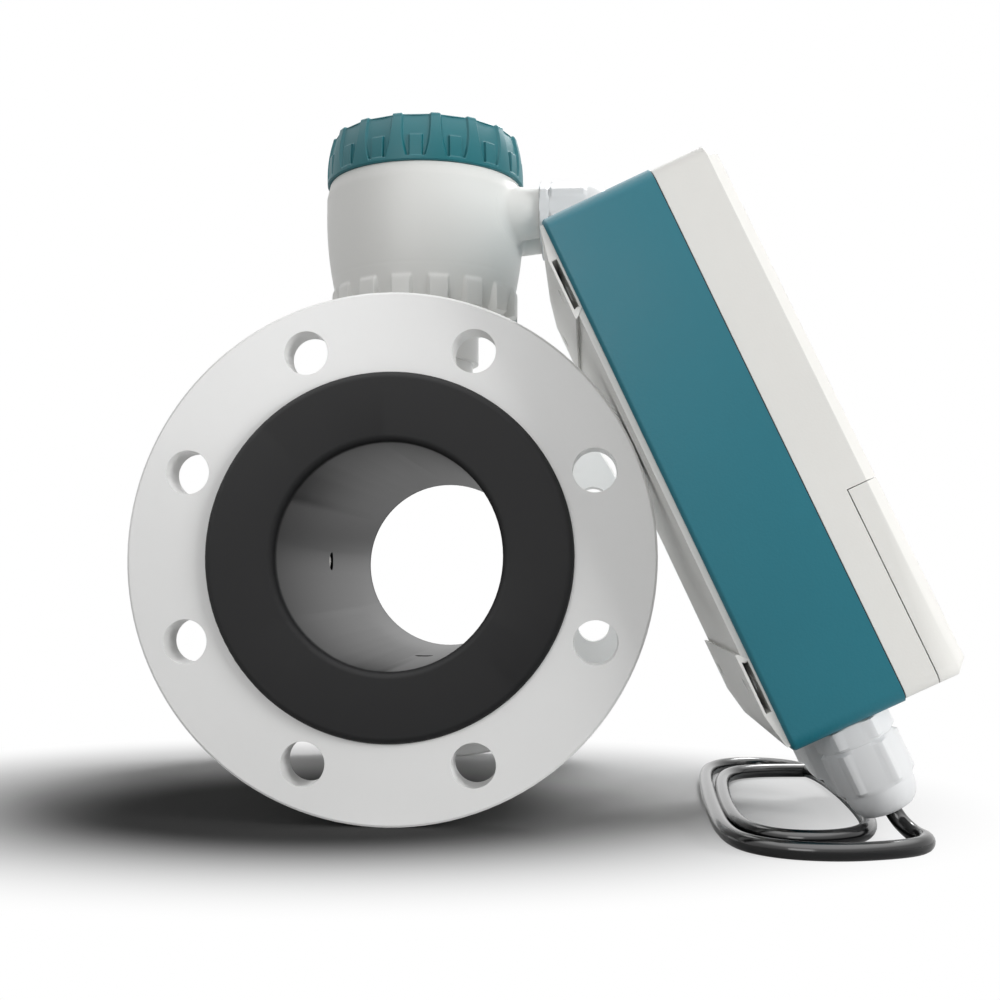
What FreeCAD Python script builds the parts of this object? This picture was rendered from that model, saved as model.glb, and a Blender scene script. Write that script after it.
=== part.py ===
import FreeCAD, Part
# Electromagnetic flow meter, DN 100: a flanged sensor with a rubber-lined bore, and a remote
# transmitter case that leans on its inlet flange, joined to it by one free cable.
# Origin at the bore's centre, +Y along the flow, +Z up, millimetres.
import math
import os
import re
import Sketcher

doc = FreeCAD.newDocument("FlowMeter")

# Driving dimensions: alias, value, what it is
DIMENSIONS = [
    ("meter_length", 250.0, "over the liner faces"),
    ("fit_gap", 0.1, "radial clearance between fixed round pieces"),
    ("run_gap", 0.25, "radial clearance round a moving piece"),
    ("flange_od", 228.6, "pipe flange, outside"),
    ("flange_wall", 18.0, "flange thickness"),
    ("flange_edge", 1.0, "chamfer on the flange rim"),
    ("weld_leg", 6.0, "fillet weld behind each flange"),
    ("bolt_circle", 190.5, "pitch circle of the flange bolts"),
    ("bolt_hole", 19.05, "flange bolt hole"),
    ("bolt_count", 8, "flange bolts"),
    ("tube_od", 114.3, "measuring tube, outside"),
    ("tube_wall", 3.0, "measuring tube wall"),
    ("bore", 98.0, "bore through the liner"),
    ("liner_face", 4.0, "liner flare on the flange face"),
    ("liner_face_od", 158.6, "liner flare, outside"),
    ("liner_round", 3.0, "rounds on the liner's edges"),
    ("head_od", 9.0, "electrode head"),
    ("head_gap", 0.25, "liner hole round an electrode head"),
    ("head_sink", 0.7, "electrode tip below the bore surface"),
    ("stem_od", 5.0, "electrode stem"),
    ("stem_proud", 3.5, "electrode stem beyond its nut"),
    ("bush_od", 12.0, "insulating bush"),
    ("bush_flange", 16.0, "insulating bush flange"),
    ("bush_flange_wall", 2.0, "insulating bush flange thickness"),
    ("nut_flats", 8.0, "electrode nut across flats"),
    ("nut_wall", 4.0, "electrode nut thickness"),
    ("coil_gap", 2.0, "tube to coil"),
    ("coil_wall", 11.0, "coil thickness"),
    ("coil_length", 120.0, "coil along the pipe"),
    ("coil_width", 96.0, "coil across the pipe"),
    ("coil_side", 24.0, "winding width on each side of the core"),
    ("core_gap", 1.0, "core to winding"),
    ("core_eye", 18.0, "hole in a core for an electrode"),
    ("yoke_gap", 0.3, "coil to yoke"),
    ("yoke_wall", 2.0, "yoke strip thickness"),
    ("yoke_width", 60.0, "yoke strip along the pipe"),
    ("jacket_gap", 7.55, "flux yoke to jacket"),
    ("jacket_wall", 2.0, "coil jacket wall"),
    ("neck_od", 50.0, "neck, outside"),
    ("neck_wall", 5.0, "neck wall"),
    ("collar_od", 56.0, "neck collar, outside"),
    ("collar_height", 20.0, "neck collar height"),
    ("neck_gap", 0.5, "flux yoke to the neck's lower end"),
    ("cup_seat", 123.0, "cup underside above the bore axis"),
    ("cup_height", 73.0, "cup underside to lid underside"),
    ("cup_od", 103.4, "cup at its widest"),
    ("cup_foot_od", 88.6, "cup at its foot"),
    ("cup_foot_round", 3.0, "chamfer at the foot"),
    ("cup_foot_height", 5.5, "foot of the curved wall above the underside"),
    ("cup_wide_height", 57.0, "widest point above the underside"),
    ("shoulder", 7.0, "sloping shoulder under the lid"),
    ("shoulder_od", 100.0, "cup at the lid underside"),
    ("cup_wall", 5.0, "cup floor"),
    ("cavity_od", 82.0, "cup cavity"),
    ("wire_hole", 30.0, "wire passage in the cup floor"),
    ("rim_od", 94.0, "cup rim inside the lid"),
    ("rim_height", 15.0, "cup rim above the lid underside"),
    ("rib_count", 16, "foot ribs, and grip ribs of the lid"),
    ("foot_rib_width", 8.3, "foot rib width"),
    ("foot_rib_od", 97.4, "over the foot ribs"),
    ("foot_rib_height", 18.0, "foot rib height"),
    ("foot_rib_turn", 15.0, "first foot rib round from the ports, degrees"),
    ("lid_od", 103.0, "lid at its underside"),
    ("lid_top_od", 97.8, "lid at its top edge"),
    ("lid_height", 25.0, "lid height"),
    ("lid_edge", 1.5, "chamfer at the lid's top edge"),
    ("lid_wall", 3.5, "lid top thickness"),
    ("lid_belly", 60.0, "radius of the lid's curved side"),
    ("grip_depth", 1.7, "depth between the grip ribs"),
    ("grip_band", 2.2, "plain band under the grip ribs"),
    ("grip_rib_top", 5.3, "main grip rib width at the top"),
    ("grip_rib_foot", 11.0, "main grip rib width at the foot"),
    ("grip_small_width", 6.6, "small grip rib width"),
    ("grip_small_height", 13.2, "small grip rib top above the underside"),
    ("seal_wall", 2.5, "lid seal thickness"),
    ("seal_width", 4.6, "lid seal width"),
    ("block_length", 50.0, "terminal block length"),
    ("block_offset", 15.0, "terminal block middle from the cup's axis"),
    ("block_width", 20.0, "terminal block width"),
    ("block_height", 16.0, "terminal block height"),
    ("pole_count", 5, "poles of the terminal block"),
    ("pole_hole", 4.2, "screw well in the terminal block"),
    ("port_height", 55.0, "port axis above the cup underside"),
    ("port_offset", 16.2, "port axis from the middle plane"),
    ("port_od", 27.0, "port boss"),
    ("port_reach", 61.0, "port boss end from the cup's axis"),
    ("gland_thread", 20.0, "gland thread"),
    ("gland_stub", 9.0, "gland thread length"),
    ("gland_flats", 29.0, "gland across flats"),
    ("gland_hex", 9.0, "gland body hexagon on the case"),
    ("port_hex", 5.0, "gland body hexagon on the sensor"),
    ("gland_sleeve", 24.0, "gland sleeve under the nut"),
    ("gland_sleeve_length", 11.0, "gland sleeve length"),
    ("gland_bore", 12.0, "gland body bore"),
    ("gland_nut", 19.0, "gland nut hexagon length"),
    ("gland_dome", 11.0, "gland nut dome height"),
    ("mouth_flare", 1.2, "flare of the gland nut's mouth"),
    ("mouth_depth", 6.0, "depth of the flare"),
    ("pin_proud", 1.5, "blanking pin beyond the gland nut"),
    ("gland_seal_od", 18.0, "gland seal, outside"),
    ("cable_od", 7.0, "cable"),
    ("lean", 24.75, "lean of the transmitter from upright, degrees"),
    ("lean_gap", 0.2, "wall plate to flange rim"),
    ("case_length", 237.5, "transmitter case length"),
    ("case_width", 140.0, "transmitter case width"),
    ("case_top", 97.3, "case top above the bore axis, along the case"),
    ("case_near", -150.0, "near side of the case, along the flow"),
    ("case_wall", 3.5, "base housing wall"),
    ("case_round", 6.5, "long corner rounds"),
    ("case_back_round", 2.0, "round along the back"),
    ("base_depth", 48.6, "base housing depth"),
    ("gasket_wall", 0.6, "gasket in the case seam"),
    ("cover_depth", 27.8, "front cover depth"),
    ("cover_inset", 0.8, "cover outline inside the base outline"),
    ("cover_wall", 3.0, "front cover wall"),
    ("cover_bevel", 5.0, "bevel round the front face"),
    ("hatch_depth", 13.7, "terminal cover depth"),
    ("hatch_length", 85.0, "terminal cover length"),
    ("hatch_seam", 0.3, "seam above the terminal cover"),
    ("hatch_wall", 2.5, "terminal cover wall"),
    ("post_od", 10.0, "screw post"),
    ("post_inset", 10.0, "screw post from the case side"),
    ("hatch_screw_inset", 16.0, "terminal cover screw from the case side"),
    ("screw_od", 4.0, "case screw"),
    ("screw_head", 7.0, "case screw head"),
    ("screw_head_wall", 2.5, "case screw head thickness"),
    ("screw_bite", 12.0, "case screw in the post"),
    ("window_width", 84.0, "display window width"),
    ("window_height", 46.0, "display window height"),
    ("window_up", 62.0, "window centre above the case centre"),
    ("window_wall", 2.0, "display window thickness"),
    ("window_lip", 3.0, "lip behind the window"),
    ("screen_width", 74.0, "display width"),
    ("screen_height", 36.0, "display height"),
    ("screen_wall", 5.0, "display thickness"),
    ("key_od", 14.0, "key"),
    ("key_up", 14.0, "keys above the case centre"),
    ("key_pitch", 26.0, "key pitch"),
    ("key_count", 4, "keys"),
    ("key_proud", 0.8, "key in front of the cover"),
    ("key_rim", 1.5, "key rim thickness"),
    ("key_rim_od", 17.0, "key rim behind the cover"),
    ("key_travel", 1.2, "key travel"),
    ("switch_size", 6.0, "key switch"),
    ("board_wall", 1.6, "circuit board thickness"),
    ("board_width", 112.0, "circuit board width"),
    ("board_back", 22.0, "circuit boards above the case back"),
    ("board_post_od", 8.0, "board post"),
    ("board_post_inset", 5.0, "board post from the board's edge"),
    ("display_board_height", 100.0, "display board height"),
    ("display_board_up", 41.0, "display board centre above the case centre"),
    ("main_board_height", 128.0, "main board height"),
    ("main_board_up", 40.0, "main board centre above the case centre"),
    ("power_board_height", 68.0, "power board height"),
    ("power_board_up", -68.0, "power board centre above the case centre"),
    ("strip_width", 100.0, "terminal strip width"),
    ("strip_height", 22.0, "terminal strip height"),
    ("strip_depth", 20.0, "terminal strip depth"),
    ("strip_up", -66.0, "terminal strip centre above the case centre"),
    ("strip_poles", 12, "poles of the terminal strip"),
    ("strip_side_room", 3.0, "shelf opening beside the terminal strip"),
    ("strip_end_room", 7.0, "shelf opening above and below the terminal strip"),
    ("case_gland_up", 26.9, "case gland axis above the case back"),
    ("case_gland_pitch", 50.0, "case gland pitch"),
    ("plate_wall", 3.0, "wall plate thickness"),
    ("plate_width", 104.0, "wall plate width"),
    ("plate_length", 214.0, "wall plate length"),
    ("plate_slot", 8.0, "wall plate slot width"),
    ("plate_slot_length", 20.0, "wall plate slot length"),
    ("plate_slot_across", 70.0, "wall plate slots, pitch across"),
    ("plate_slot_along", 172.0, "wall plate slots, pitch along"),
]

sheet = doc.addObject("Spreadsheet::Sheet", "dims")
for row, (alias, value, meaning) in enumerate(DIMENSIONS, 1):
    sheet.set(f"A{row}", meaning)
    sheet.set(f"B{row}", str(value))
    sheet.setAlias(f"B{row}", alias)
doc.recompute()

# How far a cutting tool runs past the face it leaves
OVERRUN = 1
ALIASES = re.compile(r"\b(" + "|".join(alias for alias, value, meaning in DIMENSIONS) + r")\b")
nodes = []


def linked(formula):
    """The formula with every driving dimension read from the sheet."""
    return ALIASES.sub(r"dims.\1", str(formula))


def size(formula):
    """The formula's value now."""
    return float(sheet.evalExpression(linked(formula)))


def bind(item, **formulas):
    """Ties properties of an object to formulas."""
    for name, formula in formulas.items():
        item.setExpression(name, linked(formula))
    return item


def place(item, at=(0, 0, 0), axis=(0, 0, 1), angle=0, on=None):
    """Puts an object at a point, turned about an axis, in the row's frame or in that of another object."""
    x, y, z = (linked(formula) for formula in at)
    spot = (f"create(<<placement>>; create(<<vector>>; {x}; {y}; {z}); "
            f"create(<<rotation>>; create(<<vector>>; {axis[0]}; {axis[1]}; {axis[2]}); {linked(angle)}))")
    item.setExpression("Placement", f"{on}.Placement * {spot}" if on else spot)
    return item


TURNS = {"Z": ((0, 0, 1), 0), "Y": ((1, 0, 0), -90), "X": ((0, 1, 0), 90),
         "-X": ((0, 1, 0), -90), "-Z": ((1, 0, 0), 180)}


def cylinder(name, radius, length, at=(0, 0, 0), along="Z"):
    item = bind(doc.addObject("Part::Cylinder", name), Radius=radius, Height=length)
    return place(item, at, *TURNS[along])


def block(name, sizes, middle):
    """A box of three sizes with its middle at a point."""
    item = bind(doc.addObject("Part::Box", name), Length=sizes[0], Width=sizes[1], Height=sizes[2])
    corner = [f"({m}) - ({s}) / 2" for m, s in zip(middle, sizes)]
    return place(item, corner)


def hexagon(name, flats, length, at=(0, 0, 0), along="Z"):
    item = bind(doc.addObject("Part::Prism", name), Circumradius=f"({flats}) / sqrt(3)", Height=length)
    item.Polygon = 6
    return place(item, at, *TURNS[along])


def cut(name, base, *tools):
    if len(tools) == 1:
        tool = tools[0]
    else:
        tool = doc.addObject("Part::MultiFuse", name + "_tools")
        tool.Shapes = list(tools)
    item = doc.addObject("Part::Cut", name)
    item.Base, item.Tool = base, tool
    return item


def fuse(name, *pieces):
    item = doc.addObject("Part::MultiFuse", name)
    item.Shapes = list(pieces)
    return item


def common(name, *pieces):
    item = doc.addObject("Part::MultiCommon", name)
    item.Shapes = list(pieces)
    return item


def group(name, *pieces):
    """Separate like solids in one node."""
    item = doc.addObject("Part::Compound", name)
    item.Links = list(pieces)
    return item


def node(item, name):
    """Marks an object as a sub-part of the meter."""
    item.Label = name
    nodes.append(item)
    return item


def new_body(name):
    return doc.addObject("PartDesign::Body", name)


def origin(body, role):
    return [part for part in body.Origin.OriginFeatures if part.Role == role][0]


def fix_point(sketch, curve, end, at):
    """Holds a curve's end at a point given by two formulas."""
    for kind, axis, formula in (("DistanceX", -2, at[0]), ("DistanceY", -1, at[1])):
        if str(formula) == "0":
            sketch.addConstraint(Sketcher.Constraint("PointOnObject", curve, end, axis))
            continue
        index = sketch.addConstraint(Sketcher.Constraint(kind, -1, 1, curve, end, size(formula)))
        sketch.setExpression(f"Constraints[{index}]", linked(formula))


def outline(body, name, plane, points, lift=(0, 0, 0), tilt=0):
    """A closed outline of lines and arcs. A point is (x, y), or (x, y, radius) where an arc of that
    radius leads on to the next point, bulging to the right of the way, or to the left if negative."""
    sketch = body.newObject("Sketcher::SketchObject", name)
    sketch.AttachmentSupport = (origin(body, plane), [""])
    sketch.MapMode = "FlatFace"
    x, y, z = (linked(formula) for formula in lift)
    sketch.setExpression("AttachmentOffset", f"create(<<placement>>; create(<<vector>>; {x}; {y}; {z}); "
                         f"create(<<rotation>>; create(<<vector>>; 1; 0; 0); {linked(tilt)}))")
    spots = [FreeCAD.Vector(size(point[0]), size(point[1]), 0) for point in points]
    ends = []
    for index, point in enumerate(points):
        start, stop = spots[index], spots[(index + 1) % len(points)]
        if len(point) == 2:
            sketch.addGeometry(Part.LineSegment(start, stop), False)
            ends.append((1, 2))
            continue
        radius = size(point[2])
        chord = stop - start
        rise = abs(radius) - math.sqrt(radius ** 2 - chord.Length ** 2 / 4)
        side = FreeCAD.Vector(chord.y, -chord.x, 0).normalize() * math.copysign(rise, radius)
        middle = (start + stop) / 2 + side
        curve = sketch.addGeometry(Part.Arc(start, middle, stop), False)
        ends.append((1, 2) if radius > 0 else (2, 1))
        held = sketch.addConstraint(Sketcher.Constraint("Radius", curve, abs(radius)))
        sketch.setExpression(f"Constraints[{held}]", f"abs({linked(point[2])})")
    for index, point in enumerate(points):
        after = (index + 1) % len(points)
        sketch.addConstraint(Sketcher.Constraint("Coincident", index, ends[index][1], after, ends[after][0]))
        fix_point(sketch, index, ends[index][0], point)
    return sketch


def hole_sketch(body, name, plane, at, radius, lift=(0, 0, 0)):
    """A circle at a point given by two formulas."""
    sketch = body.newObject("Sketcher::SketchObject", name)
    sketch.AttachmentSupport = (origin(body, plane), [""])
    sketch.MapMode = "FlatFace"
    for letter, formula in zip("xyz", lift):
        sketch.setExpression(f"AttachmentOffset.Base.{letter}", linked(formula))
    centre = FreeCAD.Vector(size(at[0]), size(at[1]), 0)
    sketch.addGeometry(Part.Circle(centre, FreeCAD.Vector(0, 0, 1), size(radius)), False)
    fix_point(sketch, 0, 3, at)
    index = sketch.addConstraint(Sketcher.Constraint("Radius", 0, size(radius)))
    sketch.setExpression(f"Constraints[{index}]", linked(radius))
    return sketch


def turned(body, sketch):
    """A full turn of an outline about its upright axis."""
    feature = body.newObject("PartDesign::Revolution", sketch.Name + "_turn")
    feature.Profile = sketch
    feature.ReferenceAxis = (sketch, ["V_Axis"])
    feature.Angle = 360
    return feature


def extruded(body, sketch, length, kind="Pad", reverse=False):
    feature = body.newObject("PartDesign::" + kind, sketch.Name + "_" + kind.lower())
    feature.Profile = sketch
    feature.Reversed = reverse
    return bind(feature, Length=length)


def around(body, feature, axis, count):
    """Copies of a feature round an axis."""
    pattern = body.newObject("PartDesign::PolarPattern", feature.Name + "_ring")
    pattern.Originals = [feature]
    pattern.Axis = (origin(body, axis), [""])
    pattern.Angle = 360
    bind(pattern, Occurrences=count)
    body.Tip = pattern
    return pattern


def soften(body, feature, chosen, radius, kind="Fillet"):
    """Rounds or chamfers the feature's edges that pass the test."""
    doc.recompute()
    names = [f"Edge{index}" for index, edge in enumerate(feature.Shape.Edges, 1) if chosen(edge)]
    dress = body.newObject("PartDesign::" + kind, f"{body.Name}_{kind.lower()}_{len(body.Group)}")
    dress.Base = (feature, names)
    return bind(dress, **{"Radius" if kind == "Fillet" else "Size": radius})


def near(value, target):
    return abs(value - target) < 0.01


# The sensor. Its round pieces turn about the Y axis: their outlines give radius and Y.
FACE = "(meter_length / 2 - liner_face)"
BACK = "(meter_length / 2 - liner_face - flange_wall)"
LINER_OUT = "(tube_od / 2 - tube_wall - fit_gap)"
STEM_END = "(tube_od / 2 + bush_flange_wall + nut_wall + stem_proud)"


def straight_tube(name, inside, outside, half_length):
    """A plain tube about the Y axis."""
    body = new_body(name)
    turned(body, outline(body, name + "_section", "XY_Plane", [
        (inside, f"-{half_length}"), (outside, f"-{half_length}"),
        (outside, half_length), (inside, half_length)]))
    return body


ELECTRODES = {"left": "-X", "right": "X", "ground": "-Z"}


def radial_holes(name, radius):
    """Three drills from the axis outwards, one for each electrode."""
    return [cylinder(f"{name}_{place_name}_drill", radius, "flange_od / 2", along=way)
            for place_name, way in ELECTRODES.items()]


tube = straight_tube("tube_blank", "tube_od / 2 - tube_wall", "tube_od / 2", FACE)
node(cut("measuring_tube", tube, *radial_holes("tube", "bush_od / 2 + fit_gap")), "measuring_tube")


def flange(name, angle):
    """A slip-on flange with its weld; the outline starts at the face, which looks along -Y."""
    body = new_body(name)
    plate = turned(body, outline(body, name + "_section", "XY_Plane", [
        ("tube_od / 2 + fit_gap", f"-{FACE}"),
        ("flange_od / 2 - flange_edge", f"-{FACE}"),
        ("flange_od / 2", f"flange_edge - {FACE}"),
        ("flange_od / 2", f"-{BACK} - flange_edge"),
        ("flange_od / 2 - flange_edge", f"-{BACK}"),
        ("tube_od / 2 + fit_gap + weld_leg", f"-{BACK}"),
        ("tube_od / 2 + fit_gap", f"weld_leg - {BACK}")]))
    drill = hole_sketch(body, name + "_bolt", "XZ_Plane",
                        ("bolt_circle / 2 * cos(180 / bolt_count)", "bolt_circle / 2 * sin(180 / bolt_count)"),
                        "bolt_hole / 2", lift=(0, 0, f"{FACE} + {OVERRUN}"))
    pocket = extruded(body, drill, f"flange_wall + weld_leg + 2 * {OVERRUN}", "Pocket")
    around(body, pocket, "Y_Axis", "bolt_count")
    place(body, axis=(0, 0, 1), angle=angle)
    return node(body, name)


flange("inlet_flange", 0)
flange("outlet_flange", 180)

liner = new_body("liner_blank")
liner_turn = turned(liner, outline(liner, "liner_section", "XY_Plane", [
    ("bore / 2", "-meter_length / 2"), ("liner_face_od / 2", "-meter_length / 2"),
    ("liner_face_od / 2", f"-{FACE}"), (LINER_OUT, f"-{FACE}"),
    (LINER_OUT, FACE), ("liner_face_od / 2", FACE),
    ("liner_face_od / 2", "meter_length / 2"), ("bore / 2", "meter_length / 2")]))
soften(liner, liner_turn, lambda edge: len(edge.Vertexes) == 1
       and near(abs(edge.CenterOfMass.y), size("meter_length / 2")), "liner_round")
node(cut("bore_liner", liner, *radial_holes("liner", "head_od / 2 + head_gap")), "bore_liner")


def electrode(name, way):
    """Head with a domed tip, and a stem outwards through the tube wall."""
    body = new_body(name)
    shape = turned(body, outline(body, name + "_section", "XZ_Plane", [
        (0, "bore / 2 + head_sink"), ("head_od / 2", "bore / 2 + head_sink"),
        ("head_od / 2", LINER_OUT), ("stem_od / 2", LINER_OUT),
        ("stem_od / 2", STEM_END), (0, STEM_END)]))
    soften(body, shape, lambda edge: len(edge.Vertexes) == 1
           and near(edge.CenterOfMass.z, size("bore / 2 + head_sink")), "head_od / 4")
    place(body, (0, 0, 0), *TURNS[way])
    return node(body, name)


def bush(name, way):
    """Plastic bush in the tube wall with a flange outside it."""
    sleeve = cylinder(name + "_sleeve", "bush_od / 2", "tube_wall + fit_gap", (0, 0, LINER_OUT))
    rim = cylinder(name + "_rim", "bush_flange / 2", "bush_flange_wall", (0, 0, "tube_od / 2"))
    passage = cylinder(name + "_passage", "stem_od / 2 + fit_gap", STEM_END)
    return place(cut(name, fuse(name + "_solid", sleeve, rim), passage), (0, 0, 0), *TURNS[way])


def stem_nut(name, way):
    body = hexagon(name + "_hex", "nut_flats", "nut_wall", (0, 0, "tube_od / 2 + bush_flange_wall"))
    passage = cylinder(name + "_passage", "stem_od / 2 + fit_gap", STEM_END)
    return place(cut(name, body, passage), (0, 0, 0), *TURNS[way])


for side, way in ELECTRODES.items():
    electrode(f"electrode_{side}", way)
node(group("electrode_bushes", *[bush(f"bush_{side}", way) for side, way in ELECTRODES.items()]),
     "electrode_bushes")
node(group("electrode_nuts", *[stem_nut(f"stem_nut_{side}", way) for side, way in ELECTRODES.items()]),
     "electrode_nuts")

COIL_IN = "(tube_od / 2 + coil_gap)"
COIL_OUT = "(tube_od / 2 + coil_gap + coil_wall)"
CORE_SIZE = ("coil_width - 2 * coil_side - 2 * core_gap", "coil_length - 2 * coil_side - 2 * core_gap")


def saddle(name, inside, outside, sizes, up):
    """The part of a tube about the Y axis that lies over a rectangle, above or below the pipe."""
    wall = cut(name + "_wall",
               cylinder(name + "_out", outside, sizes[1], (0, f"-({sizes[1]}) / 2", 0), "Y"),
               cylinder(name + "_in", inside, sizes[1], (0, f"-({sizes[1]}) / 2", 0), "Y"))
    field = block(name + "_field", (sizes[0], sizes[1], outside), (0, 0, f"{up} * ({outside}) / 2"))
    return common(name + "_saddle", wall, field)


for side, up in (("top", 1), ("bottom", -1)):
    whole = saddle(f"coil_{side}", COIL_IN, COIL_OUT, ("coil_width", "coil_length"), up)
    window = block(f"coil_{side}_window",
                   ("coil_width - 2 * coil_side", "coil_length - 2 * coil_side", COIL_OUT),
                   (0, 0, f"{up} * {COIL_OUT} / 2"))
    node(cut(f"coil_{side}", whole, window), f"coil_{side}")
cores = [saddle(f"core_{side}", "tube_od / 2 + fit_gap", COIL_OUT, CORE_SIZE, up)
         for side, up in (("top", 1), ("bottom", -1))]
core_eye = cylinder("core_eye_drill", "core_eye / 2", "flange_od / 2", along="-Z")
cores[1] = cut("core_bottom_drilled", cores[1], core_eye)
node(group("pole_cores", *cores), "pole_cores")
YOKE_OUT = f"({COIL_OUT} + yoke_gap + yoke_wall)"
node(straight_tube("flux_yoke", f"{COIL_OUT} + yoke_gap", YOKE_OUT, "(yoke_width / 2)"), "flux_yoke")
jacket_shell = straight_tube("jacket_shell", f"{YOKE_OUT} + jacket_gap", f"{YOKE_OUT} + jacket_gap + jacket_wall",
                             BACK)
neck_opening = cylinder("neck_opening", "neck_od / 2 + fit_gap", "flange_od / 2")
node(cut("jacket", jacket_shell, neck_opening), "jacket")

# The head of the sensor: neck, cup, lid. Outlines give radius and height.
neck = new_body("neck")
turned(neck, outline(neck, "neck_section", "XZ_Plane", [
    ("neck_od / 2 - neck_wall", f"{YOKE_OUT} + neck_gap"), ("neck_od / 2", f"{YOKE_OUT} + neck_gap"),
    ("neck_od / 2", "cup_seat - collar_height"), ("collar_od / 2", "cup_seat - collar_height"),
    ("collar_od / 2", "cup_seat"), ("neck_od / 2 - neck_wall", "cup_seat")]))
node(neck, "neck")

LID_SEAT = "(cup_seat + cup_height)"
CUP_BELLY = ("((cup_wide_height - cup_foot_height) ^ 2 / (cup_od - cup_foot_od)"
             " + (cup_od - cup_foot_od) / 4)")
cup = new_body("cup_blank")
turned(cup, outline(cup, "cup_section", "XZ_Plane", [
    ("wire_hole / 2", "cup_seat"),
    ("cup_foot_od / 2 - cup_foot_round", "cup_seat"),
    ("cup_foot_od / 2", "cup_seat + cup_foot_height", CUP_BELLY),
    ("cup_od / 2", "cup_seat + cup_wide_height"),
    ("cup_od / 2", f"{LID_SEAT} - shoulder"),
    ("shoulder_od / 2", LID_SEAT),
    ("rim_od / 2", LID_SEAT),
    ("rim_od / 2", f"{LID_SEAT} + rim_height"),
    ("cavity_od / 2", f"{LID_SEAT} + rim_height"),
    ("cavity_od / 2", "cup_seat + cup_foot_height + cup_wall"),
    ("cavity_od / 2 - cup_wall", "cup_seat + cup_wall"),
    ("wire_hole / 2", "cup_seat + cup_wall")]))
RIB_ROOT = "(cavity_od + cup_foot_od) / 4"
rib = extruded(cup, outline(cup, "foot_rib_section", "XY_Plane", [
    (RIB_ROOT, "-foot_rib_width / 2"), ("foot_rib_od / 2", "-foot_rib_width / 2"),
    ("foot_rib_od / 2", "foot_rib_width / 2"), (RIB_ROOT, "foot_rib_width / 2")],
    lift=(0, 0, "cup_seat + cup_foot_height / 2")), "foot_rib_height - cup_foot_height / 2")
around(cup, rib, "Z_Axis", "rib_count")
place(cup, angle="foot_rib_turn")
PORTS = {"front": "-port_offset", "rear": "port_offset"}
PORT_UP = "(cup_seat + port_height)"
bosses = [cylinder(f"boss_{side}", "port_od / 2", "port_reach - cavity_od / 4",
                   ("cavity_od / 4", across, PORT_UP), "X") for side, across in PORTS.items()]
cavity = cylinder("cup_cavity", "cavity_od / 2", "cup_height", (0, 0, "cup_seat + cup_foot_height + cup_wall"))
drills = [cylinder(f"boss_{side}_drill", "gland_thread / 2 + fit_gap", "port_reach",
                   ("cavity_od / 4", across, PORT_UP), "X") for side, across in PORTS.items()]
node(cut("terminal_cup", fuse("cup_with_bosses", cup, *bosses), cavity, *drills), "terminal_cup")

RIM_TOP = f"({LID_SEAT} + rim_height)"
seal = new_body("lid_seal")
turned(seal, outline(seal, "lid_seal_section", "XZ_Plane", [
    ("rim_od / 2 - seal_width", RIM_TOP), ("rim_od / 2", RIM_TOP),
    ("rim_od / 2", f"{RIM_TOP} + seal_wall"), ("rim_od / 2 - seal_width", f"{RIM_TOP} + seal_wall")]))
node(seal, "lid_seal")

lid = new_body("lid")
turned(lid, outline(lid, "lid_section", "XZ_Plane", [
    ("rim_od / 2 + run_gap", LID_SEAT),
    ("lid_od / 2", LID_SEAT, "lid_belly"),
    ("lid_top_od / 2", f"{LID_SEAT} + lid_height - lid_edge"),
    ("lid_top_od / 2 - lid_edge", f"{LID_SEAT} + lid_height"),
    (0, f"{LID_SEAT} + lid_height"),
    (0, f"{LID_SEAT} + lid_height - lid_wall"),
    ("cavity_od / 2", f"{LID_SEAT} + lid_height - lid_wall"),
    ("cavity_od / 2", f"{RIM_TOP} + seal_wall"),
    ("rim_od / 2 + run_gap", f"{RIM_TOP} + seal_wall")]))
GRIP_SLOPE = "atan((lid_od - lid_top_od) / 2 / lid_height)"
GAP_FOOT = "(pi * lid_od / rib_count - grip_rib_foot) / 2"
GAP_TOP = "(pi * lid_top_od / rib_count - grip_rib_top) / 2"
# A main rib's flank: shares of the lid's height, and of the way from the gap's foot to its top width
FLANK = ((0.2, 0.45), (0.45, 0.8), (0.75, 1.0))
side_points = [(f"({GAP_FOOT}) + {out} * (({GAP_TOP}) - ({GAP_FOOT}))", f"lid_height * {up}") for up, out in FLANK]
grip = outline(lid, "grip_gap_section", "XZ_Plane", [
    (f"-({GAP_FOOT})", "grip_band"), ("-grip_small_width / 2", "grip_band"),
    ("-grip_small_width / 2", "grip_small_height"), ("grip_small_width / 2", "grip_small_height"),
    ("grip_small_width / 2", "grip_band"), (GAP_FOOT, "grip_band"),
    *side_points, (GAP_TOP, "lid_height * 1.3"), (f"-({GAP_TOP})", "lid_height * 1.3"),
    *[(f"-({x})", y) for x, y in reversed(side_points)]],
    lift=(0, LID_SEAT, "lid_od / 2 - grip_depth"), tilt=f"-{GRIP_SLOPE}")
around(lid, extruded(lid, grip, "grip_depth * 4", "Pocket", reverse=True), "Z_Axis", "rib_count")
node(lid, "lid")

TERMINAL_FLOOR = "(cup_seat + cup_wall)"
terminal_body = block("terminal_body", ("block_length", "block_width", "block_height"),
                      (0, "block_offset", f"{TERMINAL_FLOOR} + block_height / 2"))
wells = [cylinder(f"terminal_well_{index}", "pole_hole / 2", "block_height / 2",
                  (f"({index} - (pole_count - 1) / 2) * block_length / pole_count",
                   "block_offset", f"{TERMINAL_FLOOR} + block_height / 2 + {OVERRUN}"))
         for index in range(int(size("pole_count")))]
node(cut("terminal_block", terminal_body, *wells), "terminal_block")


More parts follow.
